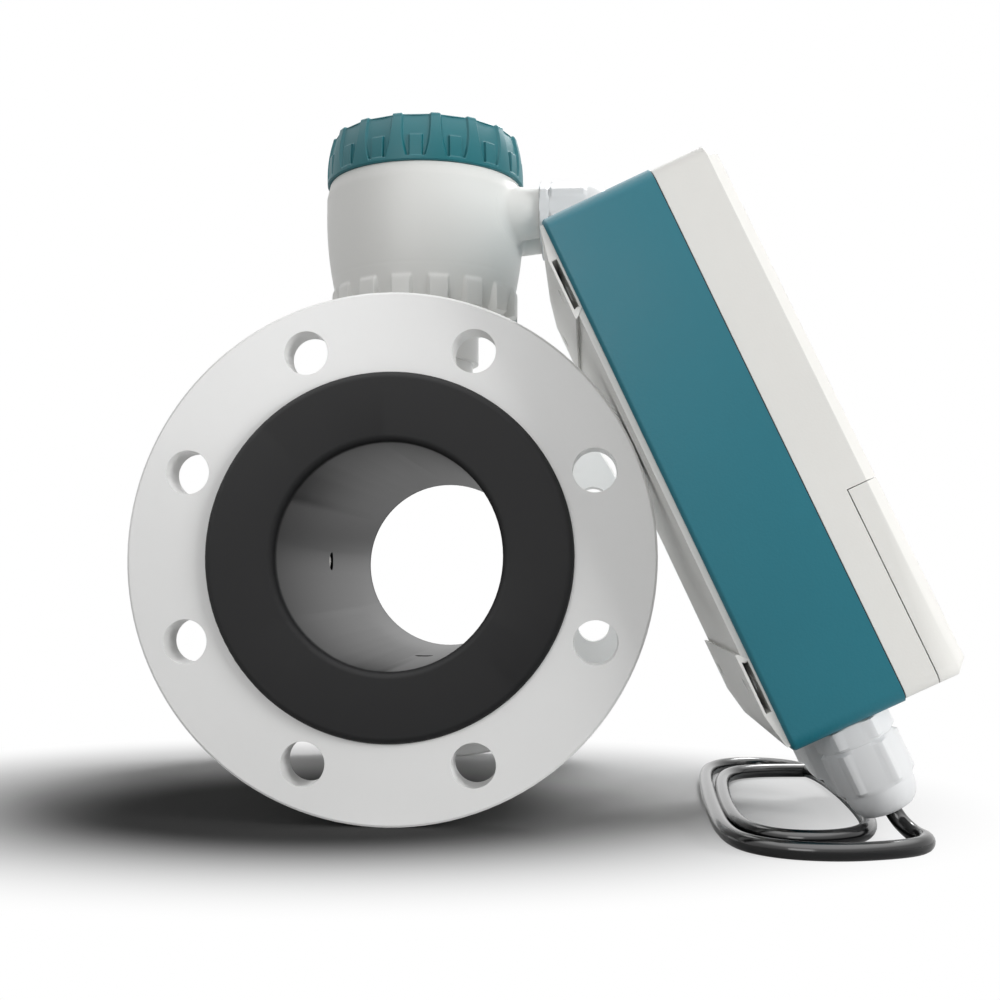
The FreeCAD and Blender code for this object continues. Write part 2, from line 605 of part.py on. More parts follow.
# Cable glands: body, nut and seal, made with the axis along +Z from the wall's outer face.
def gland(name, hex_length, seat, case=None):
    """One cable gland. seat is the place, axis and angle that turn it the right way out."""
    stub = cylinder(name + "_stub", "gland_thread / 2", "gland_stub", (0, 0, "-gland_stub"))
    head = hexagon(name + "_head", "gland_flats", hex_length)
    sleeve = cylinder(name + "_sleeve", "gland_sleeve / 2", "gland_sleeve_length", (0, 0, hex_length))
    way = cylinder(name + "_way", "gland_bore / 2", "gland_stub + 4 * gland_nut", (0, 0, "-2 * gland_stub"))
    body = cut(name + "_body", fuse(name + "_turned", stub, head, sleeve), way)

    shell = hexagon(name + "_nut_hex", "gland_flats", "gland_nut", (0, 0, hex_length))
    dome = bind(doc.addObject("Part::Ellipsoid", name + "_dome"), Radius1="gland_dome", Radius2="gland_flats / 2")
    dome.Angle1, dome.Angle2 = 0, 90
    place(dome, (0, 0, f"{hex_length} + gland_nut"))
    room = cylinder(name + "_room", "gland_sleeve / 2 + fit_gap", "gland_sleeve_length + fit_gap",
                    (0, 0, hex_length))
    pocket = cylinder(name + "_pocket", "gland_seal_od / 2 + fit_gap",
                      "gland_nut + gland_dome / 2", (0, 0, hex_length))
    eye = cylinder(name + "_eye", "cable_od / 2 + fit_gap", "gland_nut + 2 * gland_dome", (0, 0, hex_length))
    mouth = bind(doc.addObject("Part::Cone", name + "_mouth"), Radius1="cable_od / 2 + fit_gap",
                 Radius2="cable_od / 2 + fit_gap + mouth_flare", Height="mouth_depth")
    place(mouth, (0, 0, f"{hex_length} + gland_nut + gland_dome - mouth_depth"))
    nut = cut(name + "_nut", fuse(name + "_nut_form", shell, dome), room, pocket, eye, mouth)

    bush_body = cylinder(name + "_bush", "gland_seal_od / 2",
                         "gland_nut + gland_dome / 2 - gland_sleeve_length - 2 * fit_gap",
                         (0, 0, f"{hex_length} + gland_sleeve_length + fit_gap"))
    bush_way = cylinder(name + "_bush_way", "cable_od / 2 + fit_gap", "gland_nut + 2 * gland_dome",
                        (0, 0, hex_length))
    packing = cut(name + "_seal", bush_body, bush_way)
    for piece in (body, nut, packing):
        place(piece, *seat, on=case)
    return body, nut, packing


def blank_pin(name, hex_length, seat, case=None):
    """A plastic pin that closes an unused gland."""
    start = f"({hex_length} + gland_sleeve_length)"
    pin = cylinder(name, "cable_od / 2", "gland_nut + gland_dome + pin_proud - gland_sleeve_length", (0, 0, start))
    return place(group(name + "_pin", pin), *seat, on=case)


pins = []
for side, across in PORTS.items():
    seat = (("port_reach", across, PORT_UP), (0, 1, 0), 90)
    body, nut, packing = gland(f"sensor_gland_{side}", "port_hex", seat)
    node(body, f"sensor_gland_{side}")
    node(nut, f"sensor_gland_nut_{side}")
    node(packing, f"sensor_gland_seal_{side}")
    if side == "front":
        pins.append(blank_pin("pin_sensor", "port_hex", seat))

# The transmitter. Its pieces are made in the case's own frame and then leaned on the flange:
# X runs from the case's back to its front, Y across it, Z up along it, from the middle of its back.
CASE_N = "(flange_od / 2 + lean_gap + plate_wall)"
CASE_U = "(case_top - case_length / 2)"
HALF_WIDTH = "(case_width / 2)"
HALF_LENGTH = "(case_length / 2)"
FRONT = "(base_depth + gasket_wall + cover_depth)"
SEAM = "(base_depth + gasket_wall)"
POST_Y = "(case_width / 2 - post_inset)"
POST_Z = "(case_length / 2 - post_inset)"
CORNERS = [(y, z) for y in (-1, 1) for z in (-1, 1)]


def sharp_slab(name, inset, start, depth):
    """A slab with its outline a given inset inside the case outline."""
    body = new_body(name)
    wide, tall = f"({HALF_WIDTH} - ({inset}))", f"({HALF_LENGTH} - ({inset}))"
    sketch = outline(body, name + "_outline", "YZ_Plane", [
        (f"-{wide}", f"-{tall}"), (wide, f"-{tall}"), (wide, tall), (f"-{wide}", tall)], lift=(0, 0, start))
    extruded(body, sketch, depth)
    return body


def rounded_slab(name, inset, start, depth, corner):
    """The same with round long corners."""
    body = sharp_slab(name, inset, start, depth)
    soften(body, body.Tip, lambda edge: near(edge.Length, size(depth))
           and near(edge.BoundBox.XLength, size(depth)), corner)
    return body


housing_form = rounded_slab("housing_form", "0", "0", "base_depth", "case_round")
soften(housing_form, housing_form.Tip, lambda edge: near(edge.BoundBox.XMax, 0) and near(edge.BoundBox.XMin, 0),
       "case_back_round")
housing_room = rounded_slab("housing_room", "case_wall", "case_wall", "base_depth", "case_round - case_wall")
posts = [cylinder(f"post_{y}_{z}", "post_od / 2", "base_depth - case_wall",
                  ("case_wall", f"{y} * {POST_Y}", f"{z} * {POST_Z}"), "X") for y, z in CORNERS]
post_wells = [cylinder(f"post_well_{y}_{z}", "screw_od / 2 + fit_gap", "base_depth",
                       ("base_depth - screw_bite", f"{y} * {POST_Y}", f"{z} * {POST_Z}"), "X")
              for y, z in CORNERS]
BOARDS = {"main": ("main_board_height", "main_board_up"), "power": ("power_board_height", "power_board_up")}
BOARD_POST = "(board_width / 2 - board_post_inset)"
rests = [cylinder(f"rest_{name}_{y}_{z}", "board_post_od / 2", "board_back - case_wall",
                  ("case_wall", f"{y} * {BOARD_POST}", f"{up} + {z} * ({height} / 2 - board_post_inset)"), "X")
         for name, (height, up) in BOARDS.items() for y, z in CORNERS]
GLAND_Y = {"near": "-case_gland_pitch", "middle": "0", "far": "case_gland_pitch"}
gland_drills = [cylinder(f"case_drill_{side}", "gland_thread / 2 + fit_gap", "2 * gland_stub",
                         ("case_gland_up", across, f"gland_stub + fit_gap - {HALF_LENGTH}"), "-Z")
                for side, across in GLAND_Y.items()]
shell = cut("housing_shell", housing_form, housing_room)
base = cut("base_housing", fuse("housing_with_posts", shell, *posts, *rests), *post_wells, *gland_drills)
place(base, (f"{CASE_N} * cos(lean) - {CASE_U} * sin(lean)", "case_near + case_width / 2",
             f"{CASE_N} * sin(lean) + {CASE_U} * cos(lean)"), (0, -1, 0), "lean")
node(base, "base_housing")


def on_case(item, name):
    """Leans a sub-part made in the case's frame, with the case."""
    return node(place(item, on="base_housing"), name)


gasket_form = rounded_slab("gasket_form", "cover_inset", "base_depth", "gasket_wall", "case_round - cover_inset")
gasket_room = rounded_slab("gasket_room", "cover_inset + cover_wall", f"base_depth - {OVERRUN}",
                           f"gasket_wall + 2 * {OVERRUN}", "case_round - cover_inset - cover_wall")
on_case(cut("cover_gasket", gasket_form, gasket_room), "cover_gasket")


def cover_form(name):
    """The whole form of the front: both covers are parts of it."""
    body = rounded_slab(name, "cover_inset", SEAM, "cover_depth", "case_round - cover_inset")
    soften(body, body.Tip, lambda edge: near(edge.BoundBox.XMin, size(FRONT))
           and near(edge.BoundBox.XMax, size(FRONT)), "cover_bevel", "Chamfer")
    return body


def cover_space(name, wall, start):
    """The room in the form of the front: a wall inside it all over, bevelled as the front is."""
    front = f"({FRONT} - {wall})"
    body = sharp_slab(name, f"cover_inset + {wall}", start, f"{front} - ({start})")
    soften(body, body.Tip, lambda edge: near(edge.BoundBox.XMin, size(front)),
           f"cover_bevel - (2 - sqrt(2)) * {wall}", "Chamfer")
    return body


HATCH_TOP = "(hatch_length - case_length / 2)"
HATCH_BACK = f"({FRONT} - hatch_depth)"
hatch_space = block("hatch_space", ("hatch_depth * 2", "case_width * 2", "hatch_length * 2"),
                    (f"{HATCH_BACK} + hatch_depth", 0, f"{HATCH_TOP} - hatch_length"))
upper_room = common("upper_room", cover_space("upper_space", "cover_wall", f"{SEAM} - {OVERRUN}"),
                    block("upper_field", ("4 * cover_depth", "case_width", "case_length"),
                          (SEAM, 0, f"{HATCH_TOP} + cover_wall + {HALF_LENGTH}")))
lower_room = block("lower_room", ("2 * (cover_depth - hatch_depth - cover_wall)",
                                  "case_width - 2 * cover_inset - 2 * cover_wall",
                                  "case_length - 2 * cover_inset - 2 * cover_wall"), (SEAM, 0, 0))
hatch_way = block("hatch_way", ("cover_depth", "strip_width + 2 * strip_side_room",
                                "strip_height + 2 * strip_end_room"), (f"{HATCH_BACK} - cover_wall", 0, "strip_up"))
window_room = block("window_room", ("window_wall * 2", "window_width + 2 * fit_gap",
                                    "window_height + 2 * fit_gap"), (FRONT, 0, "window_up"))
window_way = block("window_way", ("cover_depth", "window_width - 2 * window_lip",
                                  "window_height - 2 * window_lip"), (FRONT, 0, "window_up"))


def key_y(index):
    return f"(({index} - (key_count - 1) / 2) * key_pitch)"


KEYS = range(int(size("key_count")))
key_ways = [cylinder(f"key_way_{index}", "key_od / 2 + run_gap", "cover_wall * 3",
                     (f"{FRONT} - cover_wall * 2", key_y(index), "key_up"), "X") for index in KEYS]
screw_tubes = [cylinder(f"screw_tube_{y}_{z}", "post_od / 2",
                        "cover_depth - cover_wall" if z > 0 else "cover_depth - hatch_depth - cover_wall",
                        (SEAM, f"{y} * {POST_Y}", f"{z} * {POST_Z}"), "X") for y, z in CORNERS]
screw_ways = [cylinder(f"screw_way_{y}_{z}", "screw_od / 2 + fit_gap", "cover_depth * 2",
                       (f"{SEAM} - {OVERRUN}", f"{y} * {POST_Y}", f"{z} * {POST_Z}"), "X")
              for y, z in CORNERS]


def screw_face(z):
    """Where a case screw's head ends: in the front face above, on the shelf below."""
    return FRONT if z > 0 else HATCH_BACK


head_wells = [cylinder(f"head_well_{y}_{z}", "screw_head / 2 + fit_gap", "cover_depth",
                       (f"{screw_face(z)} - screw_head_wall - fit_gap", f"{y} * {POST_Y}", f"{z} * {POST_Z}"), "X")
              for y, z in CORNERS]
SCREEN_FRONT = f"({FRONT} - cover_wall - fit_gap)"
DISPLAY_BACK = f"({SCREEN_FRONT} - screen_wall - board_wall)"
display_posts = [cylinder(f"display_post_{y}_{z}", "board_post_od / 2",
                          f"{FRONT} - cover_wall / 2 - {DISPLAY_BACK} - board_wall",
                          (f"{DISPLAY_BACK} + board_wall", f"{y} * {BOARD_POST}",
                           f"display_board_up + {z} * (display_board_height / 2 - board_post_inset)"), "X")
                 for y, z in CORNERS]
cover_shell = cut("cover_shell", cover_form("cover_blank"), hatch_space, upper_room, lower_room)
on_case(cut("front_cover", fuse("cover_with_tubes", cover_shell, *screw_tubes, *display_posts),
            hatch_way, window_room, window_way, *key_ways, *screw_ways, *head_wells), "front_cover")

hatch_field = block("hatch_field", ("hatch_depth * 2", "case_width * 2", "hatch_length * 2"),
                    (f"{HATCH_BACK} + hatch_depth", 0, f"{HATCH_TOP} - hatch_length - hatch_seam"))
hatch_room = common("hatch_room", cover_space("hatch_inside", "hatch_wall", f"{HATCH_BACK} - {OVERRUN}"),
                    block("hatch_room_field", ("4 * cover_depth", "case_width", "case_length"),
                          (SEAM, 0, f"{HATCH_TOP} - hatch_seam - hatch_wall - {HALF_LENGTH}")))
HATCH_SCREW_Y = "(case_width / 2 - hatch_screw_inset)"
HATCH_SCREW_Z = f"({HATCH_TOP} - post_inset)"
hatch_tubes = [cylinder(f"hatch_tube_{side}", "post_od / 2", "hatch_depth - hatch_wall",
                        (HATCH_BACK, f"{side} * {HATCH_SCREW_Y}", HATCH_SCREW_Z), "X") for side in (-1, 1)]
hatch_ways = [cylinder(f"hatch_way_{side}", "screw_od / 2 + fit_gap", "hatch_depth * 2",
                       (f"{HATCH_BACK} - {OVERRUN}", f"{side} * {HATCH_SCREW_Y}", HATCH_SCREW_Z), "X")
              for side in (-1, 1)]
hatch_wells = [cylinder(f"hatch_well_{side}", "screw_head / 2 + fit_gap", "hatch_depth",
                        (f"{FRONT} - screw_head_wall - fit_gap", f"{side} * {HATCH_SCREW_Y}", HATCH_SCREW_Z), "X")
               for side in (-1, 1)]
hatch_shell = cut("hatch_shell", common("hatch_form", cover_form("hatch_blank"), hatch_field), hatch_room)
on_case(cut("terminal_cover", fuse("hatch_with_tubes", hatch_shell, *hatch_tubes), *hatch_ways, *hatch_wells),
        "terminal_cover")


def case_screw(name, face, length, at):
    """A cheese-head screw with its head's top just under a face."""
    head = cylinder(name + "_head", "screw_head / 2", "screw_head_wall",
                    (f"{face} - screw_head_wall - fit_gap", *at), "X")
    shank = cylinder(name + "_shank", "screw_od / 2", length,
                     (f"{face} - screw_head_wall - fit_gap - ({length})", *at), "X")
    return fuse(name, head, shank)


on_case(group("cover_screws", *[
    case_screw(f"cover_screw_{y}_{z}", screw_face(z),
               f"{screw_face(z)} - screw_head_wall - base_depth + screw_bite - {OVERRUN}",
               (f"{y} * {POST_Y}", f"{z} * {POST_Z}")) for y, z in CORNERS]), "cover_screws")
on_case(group("terminal_cover_screws", *[
    case_screw(f"hatch_screw_{side}", FRONT, "hatch_depth - screw_head_wall - 2 * fit_gap",
               (f"{side} * {HATCH_SCREW_Y}", HATCH_SCREW_Z)) for side in (-1, 1)]), "terminal_cover_screws")

pane = block("window_pane", ("window_wall", "window_width", "window_height"),
             (f"{FRONT} - window_wall / 2", 0, "window_up"))
on_case(group("display_window_pane", pane), "display_window")
screen = block("screen_block", ("screen_wall", "screen_width", "screen_height"),
               (f"{SCREEN_FRONT} - screen_wall / 2", 0, "window_up"))
on_case(group("display_screen", screen), "display_module")
display_plate = block("display_board_blank", ("board_wall", "board_width", "display_board_height"),
                      (f"{DISPLAY_BACK} + board_wall / 2", 0, "display_board_up"))
on_case(group("display_board_plate", display_plate), "display_board")
KEY_BACK = f"({FRONT} - cover_wall - fit_gap - key_rim)"
SWITCH_ROOM = f"({KEY_BACK} - key_travel - fit_gap - {DISPLAY_BACK} - board_wall)"
on_case(group("key_switches", *[
    block(f"switch_{index}", (SWITCH_ROOM, "switch_size", "switch_size"),
          (f"{DISPLAY_BACK} + board_wall + {SWITCH_ROOM} / 2", key_y(index), "key_up")) for index in KEYS]),
        "key_switches")
for index in KEYS:
    stem = cylinder(f"key_stem_{index}", "key_od / 2", "cover_wall + fit_gap + key_proud",
                    (f"{FRONT} - cover_wall - fit_gap", key_y(index), "key_up"), "X")
    rim = cylinder(f"key_rim_{index}", "key_rim_od / 2", "key_rim", (KEY_BACK, key_y(index), "key_up"), "X")
    on_case(fuse(f"key_{index + 1}", stem, rim), f"key_{index + 1}")

for name, (height, up) in BOARDS.items():
    board = block(f"{name}_board_blank", ("board_wall", "board_width", height),
                  ("board_back + board_wall / 2", 0, up))
    on_case(group(f"{name}_board_plate", board), f"{name}_board")
STRIP_BACK = "(board_back + board_wall)"
strip_body = block("strip_body", ("strip_depth", "strip_width", "strip_height"),
                   (f"{STRIP_BACK} + strip_depth / 2", 0, "strip_up"))
strip_wells = [cylinder(f"strip_well_{index}", "pole_hole / 2", "strip_depth",
                        (f"{STRIP_BACK} + strip_depth / 2",
                         f"({index} - (strip_poles - 1) / 2) * strip_width / strip_poles", "strip_up"), "X")
               for index in range(int(size("strip_poles")))]
on_case(cut("terminal_strip", strip_body, *strip_wells), "terminal_strip")

plate_blank = block("plate_blank", ("plate_wall", "plate_width", "plate_length"), ("-plate_wall / 2", 0, 0))
plate_slots = [block(f"plate_slot_{index}", ("plate_wall * 3", "plate_slot", "plate_slot_length"),
                     (0, f"{side} * plate_slot_across / 2", f"{up} * plate_slot_along / 2"))
               for index, (side, up) in enumerate(CORNERS)]
on_case(cut("wall_plate", plate_blank, *plate_slots), "wall_plate")

for side, across in GLAND_Y.items():
    seat = (("case_gland_up", across, f"-{HALF_LENGTH}"), (1, 0, 0), 180)
    body, nut, packing = gland(f"case_gland_{side}", "gland_hex", seat, "base_housing")
    node(body, f"case_gland_{side}")
    node(nut, f"case_gland_nut_{side}")
    node(packing, f"case_gland_seal_{side}")
    if side != "near":
        pins.append(blank_pin(f"pin_{side}", "gland_hex", seat, "base_housing"))
node(group("gland_pins", *pins), "gland_pins")
doc.recompute()

# The cable's route: out of the case's near gland, two loose turns on the floor, up behind the case
# and into the sensor's rear gland. Floor height: the flanges stand on it.
FLOOR = -size("flange_od / 2")
LIE = FLOOR + size("cable_od / 2")
case = base.Placement
near_axis = case.Rotation.multVec(FreeCAD.Vector(0, 0, -1))
near_tip = case.multVec(FreeCAD.Vector(size("case_gland_up"), -size("case_gland_pitch"),
                                       -size(f"{HALF_LENGTH} + gland_hex + gland_nut + gland_dome")))
rear_tip = FreeCAD.Vector(size("port_reach + port_hex + gland_nut + gland_dome"), size("port_offset"),
                          size(PORT_UP))
START = near_tip - near_axis * size("gland_nut")
TURNS_ON_FLOOR = [
    (213.0, -138.0), (216.0, -149.5), (211.0, -161.0), (199.0, -169.0),
    (178.0, -175.5), (156.5, -172.0), (143.0, -158.0), (139.0, -134.0), (139.3, -96.0), (141.2, -42.0),
    (145.0, 16.0), (150.5, 44.0), (163.5, 60.0), (182.0, 61.0), (197.5, 48.0), (204.5, 20.0), (205.5, -38.0),
    (203.5, -92.0), (199.5, -124.0), (190.5, -143.0), (173.5, -152.0), (157.0, -147.5), (147.5, -130.0),
    (145.6, -98.0), (147.5, -48.0), (151.5, -2.0), (158.0, 22.0), (171.0, 33.0), (188.0, 36.5),
]
RISE = [
    (206.0, 36.5, LIE), (222.0, 35.0, -104.0), (232.0, 33.0, -86.0), (234.0, 30.0, -58.0), (228.0, 26.0, -16.0),
    (216.0, 22.0, 34.0), (199.0, 19.0, 82.0), (177.0, 17.0, 124.0), (150.0, 16.2, 158.0),
]
NEAR_LEAD, REAR_LEAD = 1.5, 24.0
route = [START, near_tip + near_axis * NEAR_LEAD] + [FreeCAD.Vector(x, y, LIE) for x, y in TURNS_ON_FLOOR]
route += [FreeCAD.Vector(*point) for point in RISE]
route += [rear_tip + FreeCAD.Vector(REAR_LEAD, 0, 0), rear_tip - FreeCAD.Vector(size("gland_nut"), 0, 0)]


def tube_along(points, radius):
    """A round tube along straight runs joined by tangent arcs. Each arc is as large as its shorter run
    allows: 0.45 of that run, divided by the tangent of half the turn."""
    edges = []
    radii = []
    last = points[0]
    for before, corner, after in zip(points, points[1:], points[2:]):
        back = (before - corner).normalize()
        ahead = (after - corner).normalize()
        half_turn = (math.pi - back.getAngle(ahead)) / 2
        reach = 0.45 * min((corner - before).Length, (after - corner).Length)
        radii.append(reach / math.tan(half_turn))
        enter = corner + back * reach
        leave = corner + ahead * reach
        toward = (back + ahead).normalize()
        depth = radii[-1] / math.cos(half_turn) - radii[-1]
        edges.append(Part.LineSegment(last, enter).toShape())
        edges.append(Part.Arc(enter, corner + toward * depth, leave).toShape())
        last = leave
    edges.append(Part.LineSegment(last, points[-1]).toShape())
    path = Part.Wire(edges)
    start = points[0]
    circle = Part.Wire(Part.Circle(start, points[1] - start, radius).toShape())
    tube_shape = path.makePipeShell([circle], True, True)
    print(f"cable {path.Length:.0f} mm, volume ratio {tube_shape.Volume / (path.Length * math.pi * radius ** 2):.4f}")
    print("radii", " ".join(f"{value:.0f}" for value in radii))
    return tube_shape


cable = doc.addObject("Part::Feature", "sensor_cable")
cable.Shape = tube_along(route, size("cable_od / 2"))
node(cable, "sensor_cable")

doc.recompute()
for item in doc.Objects:
    if "Invalid" in item.State or "Error" in item.State:
        raise RuntimeError(f"{item.Name} did not build: {item.State}")
for item in nodes:
    if item.Shape.isNull() or not item.Shape.isValid() or not item.Shape.Solids:
        raise RuntimeError(f"{item.Label} has no valid shape")

os.makedirs("parts", exist_ok=True)
for item in nodes:
    item.Shape.exportStep(f"parts/{item.Label}.step")
print(len(nodes), "parts")
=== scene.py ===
import math

import bmesh
import bpy
import numpy as np
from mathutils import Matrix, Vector


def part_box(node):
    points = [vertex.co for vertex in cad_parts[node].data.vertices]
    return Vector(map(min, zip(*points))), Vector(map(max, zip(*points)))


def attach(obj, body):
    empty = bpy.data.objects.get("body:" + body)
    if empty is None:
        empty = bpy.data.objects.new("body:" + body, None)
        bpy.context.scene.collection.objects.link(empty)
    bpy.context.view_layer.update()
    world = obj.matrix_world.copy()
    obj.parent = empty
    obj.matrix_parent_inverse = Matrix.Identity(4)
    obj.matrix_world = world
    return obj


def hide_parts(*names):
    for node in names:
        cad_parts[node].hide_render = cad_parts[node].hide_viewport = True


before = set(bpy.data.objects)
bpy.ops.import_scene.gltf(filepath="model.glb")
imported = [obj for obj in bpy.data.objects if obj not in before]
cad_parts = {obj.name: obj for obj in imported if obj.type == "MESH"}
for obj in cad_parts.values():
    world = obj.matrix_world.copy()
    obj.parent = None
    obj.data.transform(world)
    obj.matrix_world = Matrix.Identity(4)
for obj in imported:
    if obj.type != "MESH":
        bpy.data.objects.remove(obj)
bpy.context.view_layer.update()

scene = bpy.context.scene
scene.view_settings.view_transform = "Standard"

# The camera stands in front of the near flange, a little to the right of the bore's axis and just under it.
# Its place and turn were solved from the flange, its eight holes, the liner and the far edge of the bore.
CAMERA_PLACE = (0.08535, -0.66676, -0.01146)
CAMERA_YAW, CAMERA_PITCH = 3.9466, 3.6964
SENSOR, FOCAL_SHARE = 36.0, 1.28904
camera_data = bpy.data.cameras.new("camera")
camera_data.sensor_width = SENSOR
camera_data.lens = SENSOR * FOCAL_SHARE
camera_data.clip_start, camera_data.clip_end = 0.01, 50
camera = bpy.data.objects.new("camera", camera_data)
camera.location = CAMERA_PLACE
camera.rotation_euler = (math.radians(90 + CAMERA_PITCH), 0, math.radians(CAMERA_YAW))
scene.collection.objects.link(camera)
scene.camera = camera

# The cable is a round 7 mm lead in black PVC. It leaves the case's near gland, lies on the floor in two loose
# turns, goes up behind the case under its own stiffness and ends in the sensor's rear gland.
FLANGE_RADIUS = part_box("inlet_flange")[1][0]
FLOOR = -FLANGE_RADIUS
CABLE_DIAMETER, CABLE_LENGTH = 0.007, 1.222
LEAN = math.radians(24.75)
CASE_OUT, CASE_UP = Vector((math.cos(LEAN), 0, math.sin(LEAN))), Vector((-math.sin(LEAN), 0, math.cos(LEAN)))
CASE_BACK, CASE_MIDDLE, CASE_ACROSS = 0.1175, -0.02145, -0.08
CASE_ORIGIN = CASE_BACK * CASE_OUT + CASE_MIDDLE * CASE_UP + Vector((0, CASE_ACROSS, 0))
CASE_HALF_LENGTH, CASE_GLAND_OUT, CASE_GLAND_PITCH = 0.11875, 0.0269, 0.05
CASE_GLAND_REACH, CUP_GLAND_TIP = 0.039, Vector((0.096, 0.0162, 0.178))
near_tip = (CASE_ORIGIN + CASE_GLAND_OUT * CASE_OUT - CASE_GLAND_PITCH * Vector((0, 1, 0))
            - (CASE_HALF_LENGTH + CASE_GLAND_REACH) * CASE_UP)
TURNS_ON_FLOOR = [
    (213.0, -138.0), (216.0, -149.5), (211.0, -161.0), (199.0, -169.0),
    (178.0, -175.5), (156.5, -172.0), (143.0, -158.0), (139.0, -134.0), (139.3, -96.0), (141.2, -42.0),
    (145.0, 16.0), (150.5, 44.0), (163.5, 60.0), (182.0, 61.0), (197.5, 48.0), (204.5, 20.0), (205.5, -38.0),
    (203.5, -92.0), (199.5, -124.0), (190.5, -143.0), (173.5, -152.0), (157.0, -147.5), (147.5, -130.0),
    (145.6, -98.0), (147.5, -48.0), (151.5, -2.0), (158.0, 22.0), (171.0, 33.0), (188.0, 36.5),
]
LIE = FLOOR + CABLE_DIAMETER / 2
RISE = [
    (206.0, 36.5, LIE * 1000), (222.0, 35.0, -104.0), (232.0, 33.0, -86.0), (234.0, 30.0, -58.0),
    (228.0, 26.0, -16.0), (216.0, 22.0, 34.0), (199.0, 19.0, 82.0), (177.0, 17.0, 124.0), (150.0, 16.2, 158.0),
]
INSIDE_GLAND, BELOW_GLAND, OUT_OF_CUP = 0.019, 0.0015, 0.024
route = [near_tip + INSIDE_GLAND * CASE_UP, near_tip - BELOW_GLAND * CASE_UP]
route += [Vector((x / 1000, y / 1000, LIE)) for x, y in TURNS_ON_FLOOR]
route += [Vector(point) / 1000 for point in RISE]
route += [CUP_GLAND_TIP + Vector((OUT_OF_CUP, 0, 0)), CUP_GLAND_TIP - Vector((INSIDE_GLAND, 0, 0))]
cable_curve = bpy.data.curves.new("cable", "CURVE")
cable_curve.dimensions = "3D"
cable_curve.bevel_depth = CABLE_DIAMETER / 2
cable_curve.bevel_resolution = 8
cable_curve.use_fill_caps = True
spline = cable_curve.splines.new("NURBS")
spline.points.add(len(route) - 1)
for control, place in zip(spline.points, route):
    control.co = (*place, 1)
spline.order_u = 3
spline.use_endpoint_u = True
spline.resolution_u = 12
cable = bpy.data.objects.new("cable", cable_curve)
scene.collection.objects.link(cable)


def linear(hex_colour):
    """An sRGB hex colour as linear red, green, blue and full alpha: below 0.04045 a channel is divided by
    12.92, and above it it is (channel + 0.055) / 1.055 to the power of 2.4."""
    channels = [int(hex_colour[place:place + 2], 16) / 255 for place in (1, 3, 5)]
    return (*[c / 12.92 if c <= 0.04045 else ((c + 0.055) / 1.055) ** 2.4 for c in channels], 1)


def add(tree, kind, sockets=None, **settings):
    """Adds one shader node. Settings go to its properties, sockets to its inputs, as values or as links."""
    node = tree.nodes.new("ShaderNode" + kind)
    for name, value in settings.items():
        setattr(node, name, value)
    for socket, value in (sockets or {}).items():
        if isinstance(value, bpy.types.NodeSocket):
            tree.links.new(value, node.inputs[socket])
        else:
            node.inputs[socket].default_value = value
    return node


def new_material(name):
    """An empty material with an output: returns it and its tree."""
    material = bpy.data.materials.new(name)
    material.use_nodes = True
    material.node_tree.nodes.clear()
    return material, material.node_tree


def edge_softened(tree, radius):
    """The surface's normal, with every sharp edge eased over a radius in metres as moulds and paint do."""
    return add(tree, "Bevel", {"Radius": radius}, samples=6).outputs["Normal"]


def coated(name, colour, roughness, grain, depth, drift=0.04, coat=0.0, edge=0.0004, ior=1.5):
    """A coloured solid or paint with a fine grain of a width and a depth in metres. Its colour and gloss
    drift a little over about five centimetres, as moulded and sprayed surfaces do."""
    material, tree = new_material(name)
    place = add(tree, "TexCoord").outputs["Object"]
    fine = add(tree, "TexNoise", {"Vector": place, "Scale": 1 / grain, "Detail": 3.0})
    broad = add(tree, "TexNoise", {"Vector": place, "Scale": 18.0, "Detail": 2.0})
    dark = tuple(channel * (1 - 2 * drift) for channel in linear(colour)[:3]) + (1,)
    tone = add(tree, "Mix", {"Factor": broad.outputs["Fac"], "A": dark, "B": linear(colour)}, data_type="RGBA")
    gloss = add(tree, "MapRange", {"Value": broad.outputs["Fac"], "From Min": 0.3, "From Max": 0.7,
                                   "To Min": roughness * 0.9, "To Max": roughness * 1.1})
    bump = add(tree, "Bump", {"Height": fine.outputs["Fac"], "Distance": depth, "Strength": 1.0,
                              "Normal": edge_softened(tree, edge)})
    skin_shader = add(tree, "BsdfPrincipled", {
        "Base Color": tone.outputs["Result"], "Roughness": gloss.outputs["Result"], "IOR": ior,
        "Normal": bump.outputs["Normal"], "Coat Weight": coat, "Coat Roughness": 0.1})
    add(tree, "OutputMaterial", {"Surface": skin_shader.outputs["BSDF"]})
    return material


# Extruded PVC comes out of its die nearly polished, so it mirrors its surroundings in long soft streaks.
cable.data.materials.append(coated("black PVC sheath", "#0B0B0C", 0.16, 0.0009, 0.000004, coat=0.3, edge=0.0))
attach(cable, "meter")
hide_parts("sensor_cable")


def dress(material, *names):
    """Gives CAD nodes a material. Their loose triangles are welded and shaded smooth, and edges that turn
    more than 30 degrees stay sharp."""
    for name in names:
        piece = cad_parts[name]
        piece.data.materials.clear()
        piece.data.materials.append(material)
        piece.data.polygons.foreach_set("use_smooth", np.ones(len(piece.data.polygons), bool))
        weld = piece.modifiers.new("weld", "WELD")
        weld.merge_threshold = 1e-6
        split = piece.modifiers.new("crease", "EDGE_SPLIT")
        split.split_angle = math.radians(30)


# Flanges, jacket and neck are turned and rolled steel, welded together and sprayed with white powder paint.
# Baked powder keeps a faint orange peel, drawn at its real 2 mm, under a satin gloss.
powder_paint = coated("white powder paint", "#ECECEB", 0.32, 0.0018, 0.000012, 0.015, coat=0.2)
dress(powder_paint, "inlet_flange", "outlet_flange", "jacket", "neck")

